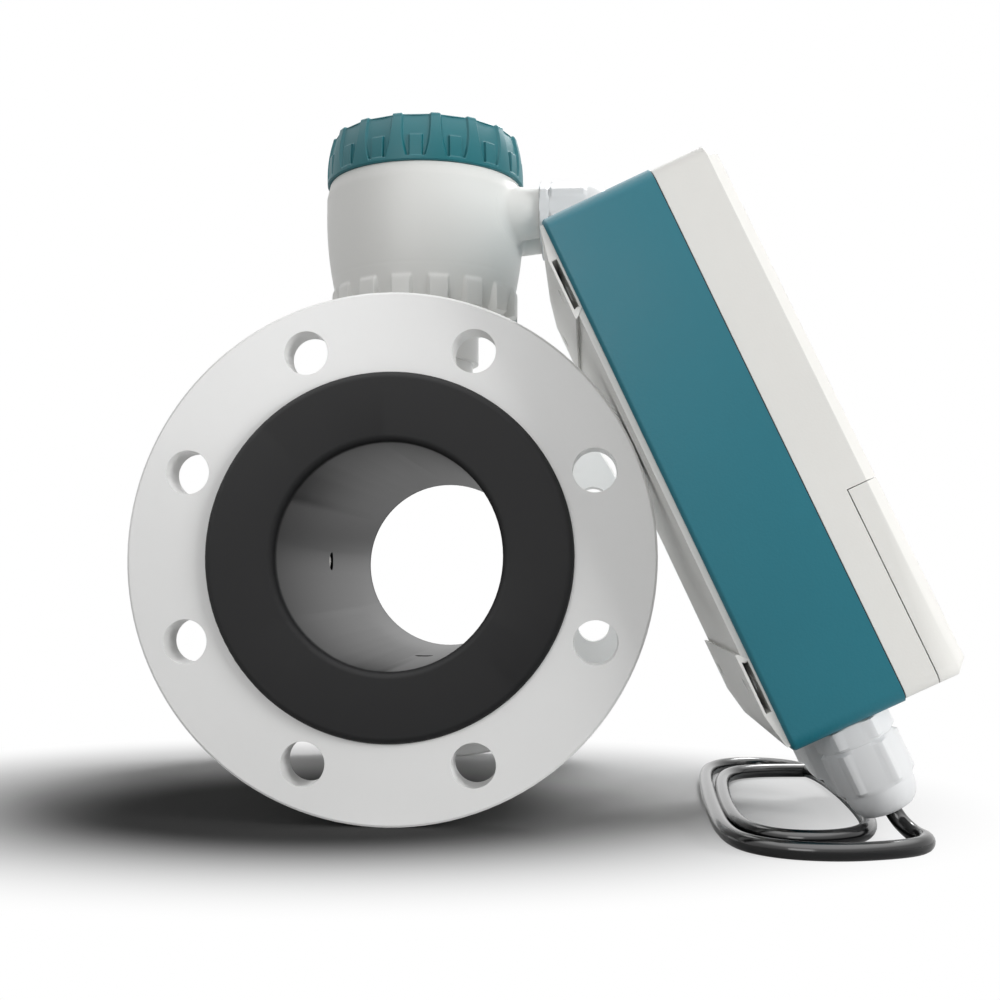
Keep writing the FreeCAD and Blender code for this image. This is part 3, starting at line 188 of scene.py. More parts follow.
# The liner is moulded from hard rubber and flares over both flange faces. Its bore is honed smooth, so it
# mirrors the light from its far end, and the faces stay dull.
DULL, HONED, BORE_ENDS, FACES_START = 0.68, 0.38, 0.118, 0.122
hard_rubber = coated("hard rubber", "#121213", DULL, 0.0007, 0.00001, ior=1.42)
tree = hard_rubber.node_tree
pipe_way = add(tree, "SeparateXYZ", {"Vector": add(tree, "TexCoord").outputs["Object"]})
from_middle = add(tree, "Math", {0: pipe_way.outputs["Y"]}, operation="ABSOLUTE")
honing = add(tree, "MapRange", {"Value": from_middle.outputs["Value"], "From Min": BORE_ENDS,
                                "From Max": FACES_START, "To Min": HONED, "To Max": DULL})
rubber_shader = tree.nodes["Principled BSDF"]
tree.links.new(honing.outputs["Result"], rubber_shader.inputs["Roughness"])
dress(hard_rubber, "bore_liner")


def metal(name, colour, roughness, grain):
    """Bare metal whose gloss varies by three tenths either way over a grain of a width in metres."""
    material, tree = new_material(name)
    place = add(tree, "TexCoord").outputs["Object"]
    fine = add(tree, "TexNoise", {"Vector": place, "Scale": 1 / grain, "Detail": 4.0})
    gloss = add(tree, "MapRange", {"Value": fine.outputs["Fac"], "To Min": roughness * 0.7,
                                   "To Max": roughness * 1.3})
    skin_shader = add(tree, "BsdfPrincipled", {"Base Color": linear(colour), "Metallic": 1.0,
                                               "Roughness": gloss.outputs["Result"]})
    add(tree, "OutputMaterial", {"Surface": skin_shader.outputs["BSDF"]})
    return material


# The measuring tube, the electrodes and their nuts are stainless steel, turned and left bare, which mirrors in
# soft bands. The saddle coils are wound from enamelled copper wire with a reddish shine, and the pole cores
# and the yoke are bent from dull soft iron sheet.
dress(metal("turned stainless steel", "#B9B7B2", 0.28, 0.0004), "measuring_tube", "electrode_left",
      "electrode_right", "electrode_ground", "electrode_nuts")
dress(metal("enamelled copper", "#C77B4B", 0.35, 0.0004), "coil_top", "coil_bottom")
dress(metal("core iron", "#77777A", 0.5, 0.0004), "pole_cores", "flux_yoke")


def smooth(share):
    """Zero below 0, one above 1, and 3 s squared less 2 s cubed between."""
    share = np.clip(share, 0, 1)
    return share * share * (3 - 2 * share)


def skin(name, rows, poles=(), crease=30):
    """A closed mesh through rows of points in millimetres. Each row is a ring and neighbours are joined by
    quads. The first and last rows shut at a pole each, or without poles the last joins the first. The volume
    that the faces enclose gives their sign, and where it is negative they are turned round."""
    count, across = rows.shape[:2]
    points = rows.reshape(-1, 3) / 1000
    index = np.arange(count * across).reshape(count, across)
    lower, upper = (index[:-1], index[1:]) if poles else (index, np.roll(index, -1, axis=0))
    quads = np.stack([lower, np.roll(lower, -1, 1), np.roll(upper, -1, 1), upper], -1).reshape(-1, 4)
    fans = np.zeros((0, 3), int)
    if poles:
        points = np.vstack([points, np.array(poles) / 1000])
        first, last = index[0], index[-1]
        pole = np.full(across, count * across)
        fans = np.vstack([np.stack([np.roll(first, -1), first, pole], -1),
                          np.stack([last, np.roll(last, -1), pole + 1], -1)])
    triangles = np.vstack([quads[:, :3], quads[:, [0, 2, 3]], fans])
    a, b, c = (points[triangles[:, corner]] for corner in range(3))
    if np.sum(a * np.cross(b, c)) < 0:
        quads, fans = quads[:, ::-1], fans[:, ::-1]
    mesh = bpy.data.meshes.new(name)
    mesh.from_pydata(points.tolist(), [], quads.tolist() + fans.tolist())
    mesh.polygons.foreach_set("use_smooth", np.ones(len(mesh.polygons), bool))
    mesh.set_sharp_from_angle(angle=math.radians(crease))
    return mesh


def fitted(name, mesh, material, slot, *nodes, body="meter"):
    """Puts a finished mesh in the scene as a piece of its body, in place of CAD nodes if any are named."""
    piece = bpy.data.objects.new(name, mesh)
    scene.collection.objects.link(piece)
    mesh.materials.clear()
    mesh.materials.append(material)
    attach(piece, body)
    if nodes:
        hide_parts(*nodes)
    return piece


def rounded(corners, steps=5):
    """An outline of radius and height. A corner given with a round becomes the curve (1 - t) squared times
    the point that far before it, plus 2 t (1 - t) times the corner, plus t squared times the point after."""
    corners = [np.array(corner, float) for corner in corners]
    points = []
    for place, corner in enumerate(corners):
        if len(corner) == 2:
            points.append(corner)
            continue
        here, reach = corner[:2], corner[2]
        before, after = corners[place - 1][:2], corners[(place + 1) % len(corners)][:2]
        enter = here + (before - here) * reach / np.linalg.norm(before - here)
        leave = here + (after - here) * reach / np.linalg.norm(after - here)
        t = np.linspace(0, 1, steps)[:, None]
        points.extend((1 - t) ** 2 * enter + 2 * t * (1 - t) * here + t ** 2 * leave)
    return np.array(points)


SECTORS = 16


def sectors(half_knots, first_turn, ring):
    """Sixteen like sectors round the axis. Half a sector's knots are arc lengths at the ring's radius, from
    its middle to its edge, one set for each row. They are mirrored, and repeated every 22.5 degrees."""
    arcs = np.concatenate([-half_knots[:, -2:0:-1], half_knots], axis=1)
    middles = math.radians(first_turn) + np.arange(SECTORS) * math.tau / SECTORS
    angles = (middles[:, None] + arcs[:, None, :] / ring).reshape(len(arcs), -1)
    return np.tile(arcs, (1, SECTORS)), angles


def turned_rows(radius, height, angles):
    """Rows of points: x is the radius times the cosine, y the radius times the sine, z the height."""
    height = np.broadcast_to(height, radius.shape)
    return np.stack([radius * np.cos(angles), radius * np.sin(angles), height], -1)


# The terminal cup is one moulding in white ABS. Its side bellies out under a sloping shoulder, sixteen short
# ribs with soft edges stand round its foot, and two port bosses grow out of it with a moulder's fillet. The
# plastic is half matt, so the highlights on it are broad and soft.
white_abs = coated("white ABS", "#E4E4E1", 0.45, 0.0009, 0.000008, 0.015)
CUP_FOOT, CUP_FLOOR, CUP_RIM, CUP_SEAT, CUP_HOLE, CUP_BORE = 123.0, 128.0, 211.0, 196.0, 15.0, 41.0
CUP_SIDE, BELLY, BELLY_START, BELLY_TOP, SHOULDER, COLLAR = 51.7, 185.6, 128.5, 180.0, 189.0, 47.0
# The belly is part of a circle: its radius is the cup's half width less the circle's radius, plus the root of
# the circle's radius squared less the way below the top squared.
belly_heights = np.linspace(BELLY_START, BELLY_TOP, 40)
belly = CUP_SIDE - BELLY + np.sqrt(BELLY ** 2 - (BELLY_TOP - belly_heights) ** 2)
outer = np.vstack([
    rounded([(CUP_HOLE, CUP_FOOT, 0.6), (41.3, CUP_FOOT, 1.2), (44.3, BELLY_START, 1.2)])[:-2],
    np.stack([belly, belly_heights], -1)[1:],
    rounded([(CUP_SIDE, 181), (CUP_SIDE, SHOULDER, 1.2), (50, CUP_SEAT, 0.5), (COLLAR, CUP_SEAT, 0.3),
             (COLLAR, CUP_RIM, 0.8), (CUP_BORE, CUP_RIM, 0.8), (CUP_BORE, 133.5, 1.0), (36, CUP_FLOOR, 1.0),
             (CUP_HOLE, CUP_FLOOR, 0.6)])])
RIB_FOOT, RIB_TOP, FOOT_RING, RIB_HALF, RIB_FLANK, RIB_TURN = 124.2, 146.2, 48.7, 5.2, 1.8, 15.0
RIB_LEAN, LEAN_FROM, LEAN_HIGH, TOE_ROUND, TOE_FROM, TOE_HIGH = 7.0, 137.5, 8.5, 6.0, 124.4, 1.9
WALL_INSIDE = 42.0
fine = np.linspace(RIB_FOOT, RIB_TOP, 30)
is_foot = (outer[:, 1] > 124) & (outer[:, 1] < RIB_TOP + 0.4) & (outer[:, 0] > WALL_INSIDE)
wall = np.interp(fine, outer[is_foot, 1], outer[is_foot, 0])
first_foot = int(np.argmax(is_foot))
outer = np.vstack([outer[:first_foot], np.stack([wall, fine], -1), outer[first_foot + is_foot.sum():]])
rib_knots = np.array([0, 1.8, 3.4, 4.0, 4.35, 4.65, 4.95, 5.2, 5.45, 5.75, 6.05, 6.5, 7.2, 8.2,
                      math.pi * FOOT_RING / SECTORS])
arcs, angles = sectors(np.tile(rib_knots, (len(outer), 1)), RIB_TURN, FOOT_RING)
wall, height = outer[:, :1], outer[:, 1:]
# A rib's front stands at the foot ring, leans back towards its top and is rounded at its foot. The wall is
# lifted to it by a share that is one on the rib and falls to zero over its flank.
rib_front = (FOOT_RING - RIB_LEAN * smooth((height - LEAN_FROM) / LEAN_HIGH) ** 1.3
             - TOE_ROUND * (1 - smooth((height - TOE_FROM) / TOE_HIGH)))
rib_share = smooth((RIB_HALF - np.abs(arcs)) / RIB_FLANK + 0.5)
on_side = (wall > WALL_INSIDE) & (height < RIB_TOP + 0.4)
lift = np.where(on_side, np.maximum(rib_front - wall, 0), 0)
cup_mesh = skin("cup_moulding", turned_rows(wall + lift * rib_share, height, angles))

BOSS_SIDE, BOSS_UP, BOSS_RADIUS, BOSS_END, PORT_DRILL, FILLET = 16.2, 178.0, 13.5, 61.0, 10.1, 3.4
BOSS_ROOT, BOSS_SUNK = 41.6, 1.5
# A boss is a set of rings round its port. Those of its end follow an outline, and those of its foot lie on the
# cup's side, raised by a quarter circle where the fillet runs out.
around = np.linspace(0, math.tau, 97)[:-1]
boss_outline = rounded([(PORT_DRILL, BOSS_END, 0.4), (BOSS_RADIUS, BOSS_END, 1.2)])
fillet_turn = np.linspace(0, math.pi / 2, 10)
boss_rings = np.concatenate([[PORT_DRILL], boss_outline[:, 0],
                             BOSS_RADIUS + FILLET * (1 - np.cos(fillet_turn)),
                             [BOSS_RADIUS + FILLET, BOSS_RADIUS - 0.2]])
across, up = np.cos(around), np.sin(around)
side_line = outer[len(outer) // 4:][:60]
boss_meshes = []
for side in (-1, 1):
    y = side * BOSS_SIDE + boss_rings[:, None] * across
    z = BOSS_UP + boss_rings[:, None] * up
    x = np.sqrt(np.interp(z, side_line[:, 1], side_line[:, 0]) ** 2 - y ** 2)
    x[0] = np.sqrt(BOSS_ROOT ** 2 - y[0] ** 2)
    x[1:1 + len(boss_outline)] = boss_outline[:, 1:]
    x[1 + len(boss_outline):-2] += FILLET * (1 - np.sin(fillet_turn))[:, None] - 0.04
    x[-2] -= BOSS_SUNK
    x[-1] = np.sqrt(BOSS_ROOT ** 2 - y[-1] ** 2)
    boss_meshes.append(skin("boss", np.stack([x, y, z], -1)))


def drilled(mesh, *cutters):
    """The mesh less the cutters: each is a closed mesh, cut away by Blender's exact boolean."""
    blank = bpy.data.objects.new("blank", mesh)
    scene.collection.objects.link(blank)
    tools = []
    for cutter in cutters:
        tool = bpy.data.objects.new("tool", cutter)
        scene.collection.objects.link(tool)
        tools.append(tool)
        cut = blank.modifiers.new("cut", "BOOLEAN")
        cut.operation, cut.solver, cut.object = "DIFFERENCE", "EXACT", tool
    result = bpy.data.meshes.new_from_object(blank.evaluated_get(bpy.context.evaluated_depsgraph_get()))
    for item in [blank, *tools]:
        bpy.data.objects.remove(item)
    return result


def joined(name, meshes):
    """One mesh from several, each kept as its own closed shell."""
    union = bmesh.new()
    for mesh in meshes:
        union.from_mesh(mesh)
    result = bpy.data.meshes.new(name)
    union.to_mesh(result)
    union.free()
    result.polygons.foreach_set("use_smooth", np.ones(len(result.polygons), bool))
    result.set_sharp_from_angle(angle=math.radians(30))
    return result


DRILL_RADIUS, DRILL_ENDS = 13.0, (30.0, 60.0)
drill_tools = []
for side in (-1, 1):
    x = np.array(DRILL_ENDS)[:, None] + 0 * around
    y = side * BOSS_SIDE + DRILL_RADIUS * across + 0 * x
    ring = np.stack([x, y, BOSS_UP + DRILL_RADIUS * up + 0 * x], -1)
    drill_tools.append(skin("drill", ring, [(end, side * BOSS_SIDE, BOSS_UP) for end in DRILL_ENDS]))
cup_mesh = joined("cup_moulding", [drilled(cup_mesh, *drill_tools), *boss_meshes])
fitted("cup_moulding", cup_mesh, white_abs, "white_plastic", "terminal_cup")
dress(white_abs, "electrode_bushes")

# The cable glands are moulded in light grey polyamide. A threaded body with a bevelled hexagon sits in the
# wall, and a nut on its sleeve, a hexagon under a dome, squeezes a rubber seal round the cable. Polyamide is
# cooler in tone and glossier than the ABS beside it.
polyamide = coated("light grey polyamide", "#DADBDC", 0.34, 0.0009, 0.000008, 0.015)
GLAND_FLATS, GLAND_EDGE, HEX_TOP, GLAND_WAY = 29.0, 16.45, 14.5, 6.0
STUB, STUB_LONG, SLEEVE, SLEEVE_LONG = 10.0, 9.0, 12.0, 11.0
NUT_ROOM, NUT_HEX, NUT_END, POCKET, POCKET_END, EYE, EYE_MOUTH = 12.1, 19.0, 30.0, 9.1, 24.5, 3.6, 4.4
DOME_TOP, DOME_SWELL, DOME_FOOT = 7.5, 6.9, NUT_HEX + 0.3
dome_up = np.linspace(0, 1, 14)
dome = np.stack([DOME_TOP + DOME_SWELL * np.sqrt(1 - dome_up ** 2),
                 DOME_FOOT + (NUT_END - DOME_FOOT) * dome_up], -1)
GLAND_NUT = np.vstack([
    [(NUT_ROOM, SLEEVE_LONG + 0.1), (NUT_ROOM, 0.3), (NUT_ROOM + 0.3, 0), (HEX_TOP, 0), (GLAND_EDGE, 1.3),
     (GLAND_EDGE, NUT_HEX - 1.6), (HEX_TOP, NUT_HEX)], dome,
    [(5.0, NUT_END), (EYE_MOUTH, NUT_END - 1.4), (EYE, POCKET_END), (POCKET, POCKET_END),
     (POCKET, SLEEVE_LONG + 0.1)]])


def gland_piece(name, outline, foot, out, first, twist, node):
    """A closed turned outline of radius and height, trimmed by a hexagon: the radius is never more than half
    the width across the flats over the cosine of the angle from the nearest flat."""
    turn = np.linspace(0, math.tau, 97)[:-1]
    flat = GLAND_FLATS / 2 / np.cos((turn + math.pi / 6) % (math.pi / 3) - math.pi / 6)
    radius = np.minimum(outline[:, :1], flat)
    out, first = np.array(out), np.array(first)
    angle = (turn + math.radians(twist))[None, :, None]
    ring = np.cos(angle) * first + np.sin(angle) * np.cross(out, first)
    rows = foot + radius[..., None] * ring + outline[:, 1:, None] * out
    fitted(name, skin(name, rows, crease=25), polyamide, "white_plastic", node)


def gland(place, hexagon, foot, out, first, twist, body_node, nut_node):
    """A gland's body and its nut. The body is a stub, a hexagon as long as given, and a sleeve."""
    end = hexagon + SLEEVE_LONG
    body = np.array([(GLAND_WAY, -STUB_LONG), (STUB, -STUB_LONG), (STUB, 0), (HEX_TOP + 0.1, 0),
                     (GLAND_EDGE, 0.6), (GLAND_EDGE, hexagon - 1.3), (HEX_TOP, hexagon), (SLEEVE, hexagon),
                     (SLEEVE, end - 0.5), (SLEEVE - 0.5, end), (GLAND_WAY, end)])
    gland_piece(f"{place}_gland_body", body, foot, out, first, twist, body_node)
    gland_piece(f"{place}_gland_nut", GLAND_NUT, foot + hexagon * np.array(out), out, first, twist, nut_node)


SENSOR_HEX, CASE_HEX = 5.0, 9.0
for place, side in {"front": -BOSS_SIDE, "rear": BOSS_SIDE}.items():
    gland(f"sensor_{place}", SENSOR_HEX, np.array([BOSS_END, side, BOSS_UP]), (1, 0, 0), (0, 0, 1), 30,
          f"sensor_gland_{place}", f"sensor_gland_nut_{place}")
case_foot = np.array(CASE_ORIGIN + CASE_GLAND_OUT * CASE_OUT - CASE_HALF_LENGTH * CASE_UP) * 1000
for place, way in {"near": -1, "middle": 0, "far": 1}.items():
    gland(f"case_{place}", CASE_HEX, case_foot + (0, way * CASE_GLAND_PITCH * 1000, 0), -CASE_UP, CASE_OUT, 37,
          f"case_gland_{place}", f"case_gland_nut_{place}")
dress(polyamide, "gland_pins")

# The lid is moulded in teal ABS and screwed on by hand. Sixteen main grip ribs flare to wide feet, a short
# square rib stands at the foot of each gap, and the gaps' flat floors run out over the top edge. The plastic
# is half matt, so each rib shows a light and a dark flank.
LID_RING, LID_SEAT, LID_HIGH, SIDE_HIGH, LID_TURN = 51.5, 196.0, 25.0, 23.5, -88.5
GRIP_DEPTH, GRIP_BAND, SMALL_HALF, SMALL_HIGH, SMALL_SHARE = 1.7, 2.2, 3.3, 13.2, 0.82
GAP_FOOT, GAP_TOP, GAP_SWEEP, FLANK_WIDTH = 4.61, 7.32, 2.6, 1.15
# The side's radius is the ring's less a taper times the climb, plus a bulge times the climb times what is left
# of it. The pattern of gaps is then sunk into this outline along its normal.
side_up = np.concatenate([[0.5, 1.3], np.linspace(1.9, 2.9, 6), np.linspace(3.7, 12.3, 9),
                          np.linspace(12.7, 13.7, 6), np.linspace(14.6, 23.3, 11)])
climb = side_up / SIDE_HIGH
TAPER, LID_BULGE, DISH_DEPTH, DISH_EDGE, DISH_SLOPE = 2.6, 4.64, 0.6, 38.4, 1.6
side_out = LID_RING - TAPER * climb + LID_BULGE * climb * (1 - climb)
top_edge = rounded([(48.95, 23.3), (48.8, LID_HIGH, 1.5), (40, LID_HIGH)], 8)[1:-1]
top_out = np.array([46.8, 46.1, 45.3, 44.4, 43.4, 42.4, 41.2, 40.2, 39.7, 39.2, 38.7, 38.0, 30.0, 20.0, 10.0])
dish = DISH_DEPTH * (1 - smooth((top_out - DISH_EDGE) / DISH_SLOPE))
outer = np.vstack([np.stack([side_out, side_up], -1), top_edge, np.stack([top_out, LID_HIGH - dish], -1)])
along = np.gradient(outer, axis=0)
along /= np.linalg.norm(along, axis=1)[:, None]
normal_out, normal_up = along[:, 1:], -along[:, :1]
radius, height = outer[:, :1], outer[:, 1:]
rise = np.clip((height - GRIP_BAND) / (LID_HIGH - GRIP_BAND), 0, 1)
gap_half = GAP_FOOT + (GAP_TOP - GAP_FOOT) * (1 - (1 - rise) ** GAP_SWEEP)
flank = np.linspace(-0.6, 0.6, 11)
sector_half = math.pi * LID_RING / SECTORS
floor_start, floor_end = 3.7, gap_half + FLANK_WIDTH * flank[:1]
rib_start = gap_half + FLANK_WIDTH * flank[-1:]
half_knots = np.concatenate([
    np.tile([0, 1.5, 2.7, 2.95, 3.1, 3.2, 3.3, 3.4, 3.5, 3.65], (len(outer), 1)),
    floor_start + (floor_end - floor_start) * np.array([0.3, 0.7]), gap_half + FLANK_WIDTH * flank,
    rib_start + (sector_half - rib_start) * np.array([0.25, 0.6, 1.0])], axis=1)
arcs, angles = sectors(half_knots, LID_TURN, LID_RING)
# A gap widens from its foot to the top, fast at first. It is as deep as the grip, less the small rib's share,
# and less how far a straight line has left the ring there, which makes its floor flat. Over the top edge it
# runs out towards the middle.
SMALL_FLANK, STEP_HIGH, OVER_EDGE, EDGE_FROM, EDGE_WIDE = 0.7, 0.8, 0.35, 46.5, 2.4
RUN_FROM, RUN_WIDE = 41.0, 6.0
reach = np.abs(arcs)
in_gap = smooth((gap_half - reach) / FLANK_WIDTH + 0.5) * smooth((height - GRIP_BAND + 0.3) / STEP_HIGH)
in_small = smooth((SMALL_HALF - reach) / SMALL_FLANK + 0.5) * smooth((SMALL_HIGH - height) / STEP_HIGH + 0.5)
flatness = LID_RING * (1 / np.cos(arcs / LID_RING) - 1)
over_top = OVER_EDGE + (1 - OVER_EDGE) * smooth((radius - EDGE_FROM) / EDGE_WIDE)
over_top = np.where(height > SIDE_HIGH, over_top, 1)
run_out = over_top * smooth((radius - RUN_FROM) / RUN_WIDE)
sunk = in_gap * run_out * (GRIP_DEPTH * (1 - SMALL_SHARE * in_small) - flatness)
grip_rows = turned_rows(radius - sunk * normal_out, LID_SEAT + height - sunk * normal_up, angles)
LID_ROOF, SEAL_FACE, LID_INSIDE, PLUG = 21.5, 17.5, 47.25, 41.0
inside = np.vstack([[(10, LID_ROOF), (30, LID_ROOF)],
                    rounded([(PLUG, LID_ROOF, 1.0), (PLUG, SEAL_FACE, 0.3), (LID_INSIDE, SEAL_FACE, 0.3),
                             (LID_INSIDE, 0, 0.5), (51.4, 0, 0.4)], 4)])
inner_rows = turned_rows(inside[:, :1] + 0 * angles[:1], LID_SEAT + inside[:, 1:], angles[:1])
teal_abs = coated("teal ABS", "#14656D", 0.45, 0.0009, 0.000008, 0.03, edge=0.0003)
fitted("lid_moulding", skin("lid_moulding", np.concatenate([inner_rows, grip_rows]),
                            [(0, 0, LID_SEAT + LID_ROOF), (0, 0, LID_SEAT + LID_HIGH - DISH_DEPTH)], 50),
       teal_abs, "lid_plastic", "lid", body="lid")

# Weld beads run round the jacket at both flanges and round the neck. Each is laid in overlapping ripples,
# and is sprayed with the same white paint as the steel round it.
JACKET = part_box("jacket")[1][0] * 1000
FLANGE_BACK, NECK, BEAD, RIPPLE, RIPPLE_LONG, LAG, PROUD = 103.0, 25.0, 2.3, 0.22, 2.6, 1.6, 0.3


def bead(name, centres, outwards, sideways):
    """A closed bead round a seam: its section is a circle whose radius swells by the sine of the ripples'
    phase, and the phase lags with the distance from the crown, which draws the scales of a hand weld."""
    lap = np.linspace(0, math.tau, len(centres) + 1)[:-1, None]
    turn = np.linspace(0, math.tau, 13)[None, :-1]
    length = np.sum(np.linalg.norm(np.roll(centres, -1, 0) - centres, axis=1))
    ripples = round(length / RIPPLE_LONG)
    size = BEAD + RIPPLE * np.sin(ripples * lap + LAG * np.sin(turn))
    rows = (centres[:, None] + (size * np.cos(turn))[..., None] * outwards[:, None]
            + (size * np.sin(turn))[..., None] * sideways[:, None])
    return fitted(name, skin(name, rows, crease=80), powder_paint, "flange_paint")


lap = np.linspace(0, math.tau, 1201)[:-1]
ring = np.stack([np.cos(lap), 0 * lap, np.sin(lap)], -1)
along_pipe = np.tile([0.0, 1.0, 0.0], (len(lap), 1))
for name, way in {"inlet_jacket_weld": -1, "outlet_jacket_weld": 1}.items():
    bead(name, (JACKET + PROUD) * ring + (FLANGE_BACK - PROUD) * way * along_pipe, ring, along_pipe)
lap = np.linspace(0, math.tau, 481)[:-1]
ring = np.stack([np.cos(lap), np.sin(lap), 0 * lap], -1)
saddle = (NECK + PROUD) * ring
saddle[:, 2] = np.sqrt((JACKET + PROUD) ** 2 - saddle[:, 0] ** 2)
bead("neck_weld", saddle, ring, np.tile([0.0, 0.0, 1.0], (len(lap), 1)))

# The transmitter's base housing is moulded in teal ABS, in a mould with a spark-eroded grain of about 1 mm.
# The grain keeps it matt, and breaks its highlights into a fine sparkle.
dress(coated("teal ABS, spark-eroded grain", "#186C7B", 0.42, 0.0011, 0.00007), "base_housing")

# The front cover and the terminal cover are moulded in warm light grey ABS, with a grain so shallow that they
# look smooth. The terminal cover rests on its screw tubes, so its edge stands a little off the shelf and a
# seam runs round it.
warm_grey = coated("warm grey ABS", "#E3E2DE", 0.42, 0.001, 0.00003, 0.015)
dress(warm_grey, "front_cover")
SHELF, SEAM_GAP, TUBE_ACROSS, TUBE_UP, TUBE_RADIUS = 63.3, 0.45, 54.0, -43.75, 5.3
case_axes = np.array([CASE_OUT, (0, 1, 0), CASE_UP])
case_origin = np.array(CASE_ORIGIN) * 1000
hatch = bmesh.new()
hatch.from_mesh(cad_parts["terminal_cover"].data)
bmesh.ops.remove_doubles(hatch, verts=hatch.verts, dist=1e-6)
hatch_mesh = bpy.data.meshes.new("terminal_cover_moulding")
hatch.to_mesh(hatch_mesh)
hatch.free()
corners = np.empty(len(hatch_mesh.vertices) * 3)
hatch_mesh.vertices.foreach_get("co", corners)
corners = corners.reshape(-1, 3)
depth, across, up = case_axes @ (corners * 1000 - case_origin).T
off_tube = np.hypot(np.abs(across) - TUBE_ACROSS, up - TUBE_UP) > TUBE_RADIUS
at_shelf = np.abs(depth - SHELF) < 0.05
corners += (at_shelf & off_tube)[:, None] * SEAM_GAP / 1000 * case_axes[0]
hatch_mesh.vertices.foreach_set("co", corners.ravel())
hatch_mesh.polygons.foreach_set("use_smooth", np.ones(len(hatch_mesh.polygons), bool))
hatch_mesh.set_sharp_from_angle(angle=math.radians(30))
fitted("terminal_cover_moulding", hatch_mesh, warm_grey, "cover_plastic", "terminal_cover")

# The lid's seal, the gasket in the case's seam and the glands' seals are moulded rubber rings. They are dull
# and nearly black.
dress(coated("seal rubber", "#1B1B1C", 0.6, 0.0005, 0.00001), "lid_seal", "cover_gasket",
      "sensor_gland_seal_front", "sensor_gland_seal_rear", "case_gland_seal_near", "case_gland_seal_middle",
      "case_gland_seal_far")

# The case screws are stainless cap screws with a hexagon socket. Four hold the front cover, and two the
# terminal cover. Their heads lie in wells, a tenth of a millimetre under the face, and are turned bright.
COVER_FACE, SHELF_FACE, HEAD_HIGH, HEAD_RADIUS, SHANK_RADIUS = 76.9, 63.2, 2.5, 3.5, 2.0
SOCKET_HALF, SOCKET_DEPTH, SOCKET_BEVEL, SOCKET_FACE = 1.5, 1.5, 0.12, 2.2
COVER_POST, HATCH_POST, SCREW_ACROSS, SCREW_UP = 37.2, 63.6, 60, 108.75


def in_case(depth, across, up):
    """Points of the case's own directions, each times its axis: out from the back, across and up along it."""
    shares = np.stack(np.broadcast_arrays(depth, across, up), -1)
    return shares @ case_axes + case_origin


def cap_screw(face, foot, across, up):
    """One screw as rings round its axis. The socket's ring is a hexagon: half its width across the flats over
    the cosine of the angle from the nearest flat."""
    turn = np.linspace(0, math.tau, 49)[:-1]
    hexagon = SOCKET_HALF / np.cos((turn + math.pi / 6) % (math.pi / 3) - math.pi / 6)
    round_rings = np.array([(SHANK_RADIUS - 0.5, foot), (SHANK_RADIUS, foot + 0.5),
                            (SHANK_RADIUS, face - HEAD_HIGH), (HEAD_RADIUS, face - HEAD_HIGH),
                            (HEAD_RADIUS, face - 0.6), (HEAD_RADIUS - 0.2, face - 0.2),
                            (HEAD_RADIUS - 0.6, face), (SOCKET_FACE, face)])
    radius = np.vstack([round_rings[:, :1] + 0 * turn, hexagon + SOCKET_BEVEL, hexagon, hexagon])
    depth = np.concatenate([round_rings[:, 1], [face, face - 0.15, face - SOCKET_DEPTH]])[:, None] + 0 * turn
    rows = in_case(depth, across + radius * np.cos(turn), up + radius * np.sin(turn))
    return skin("screw", rows, [in_case(foot, across, up), in_case(face - SOCKET_DEPTH, across, up)])


stainless_screw = metal("turned stainless steel, cap screws", "#B4B3AF", 0.24, 0.0003)
cover_screws = [(COVER_FACE, COVER_POST, side * SCREW_ACROSS, SCREW_UP) for side in (-1, 1)]
cover_screws += [(SHELF_FACE, COVER_POST, side * SCREW_ACROSS, -SCREW_UP) for side in (-1, 1)]
hatch_screws = [(COVER_FACE, HATCH_POST, side * TUBE_ACROSS, TUBE_UP) for side in (-1, 1)]
for node, places in {"cover_screws": cover_screws, "terminal_cover_screws": hatch_screws}.items():
    name = node.replace("screws", "cap_screws")
    fitted(name, joined(name, [cap_screw(*place) for place in places]), stainless_screw, "steel", node)

# The wall plate is moulded in white ABS: a spine along the case's back, and a foot at each end with a wall
# screw hole on each side and a passage behind it for a pipe strap.
SPINE_THICK, SPINE_HALF_LONG, SPINE_HALF, FOOT_HALF = 2.6, 79.0, 67.5, 68.0
STRAP_LOW, STRAP_HIGH, STRAP_FRONT, STRAP_BACK, WALL_HOLE, HOLE_ACROSS = 78.5, 100.5, -0.9, -3.3, 3.5, 50.0
FOOT = [(0, 78), (-3.9, 74.6), (-4.5, 74.6), (-4.4, 101), (-1.7, 115), (-1.2, 115.75), (0, 115.75)]


def slab(section, half_width, way=1):
    """A section of depth and height in the case's directions, carried across it between two flat ends. Its
    heights are times the way, which is 1 or -1."""
    section = np.array(section, float) * (1, way)
    rows = np.stack([in_case(section[:, 0], side * half_width, section[:, 1]) for side in (-1, 1)])
    depth, up = section.mean(0)
    return skin("slab", rows, [in_case(depth, side * half_width, up) for side in (-1, 1)])


def wall_drill(across, up):
    """A closed drill through a foot along the depth, as two rings and their middles."""
    turn = np.linspace(0, math.tau, 33)[:-1]
    ends = (-12.0, 3.0)
    rows = np.stack([in_case(end, across + WALL_HOLE * np.cos(turn), up + WALL_HOLE * np.sin(turn))
                     for end in ends])
    return skin("drill", rows, [in_case(end, across, up) for end in ends])


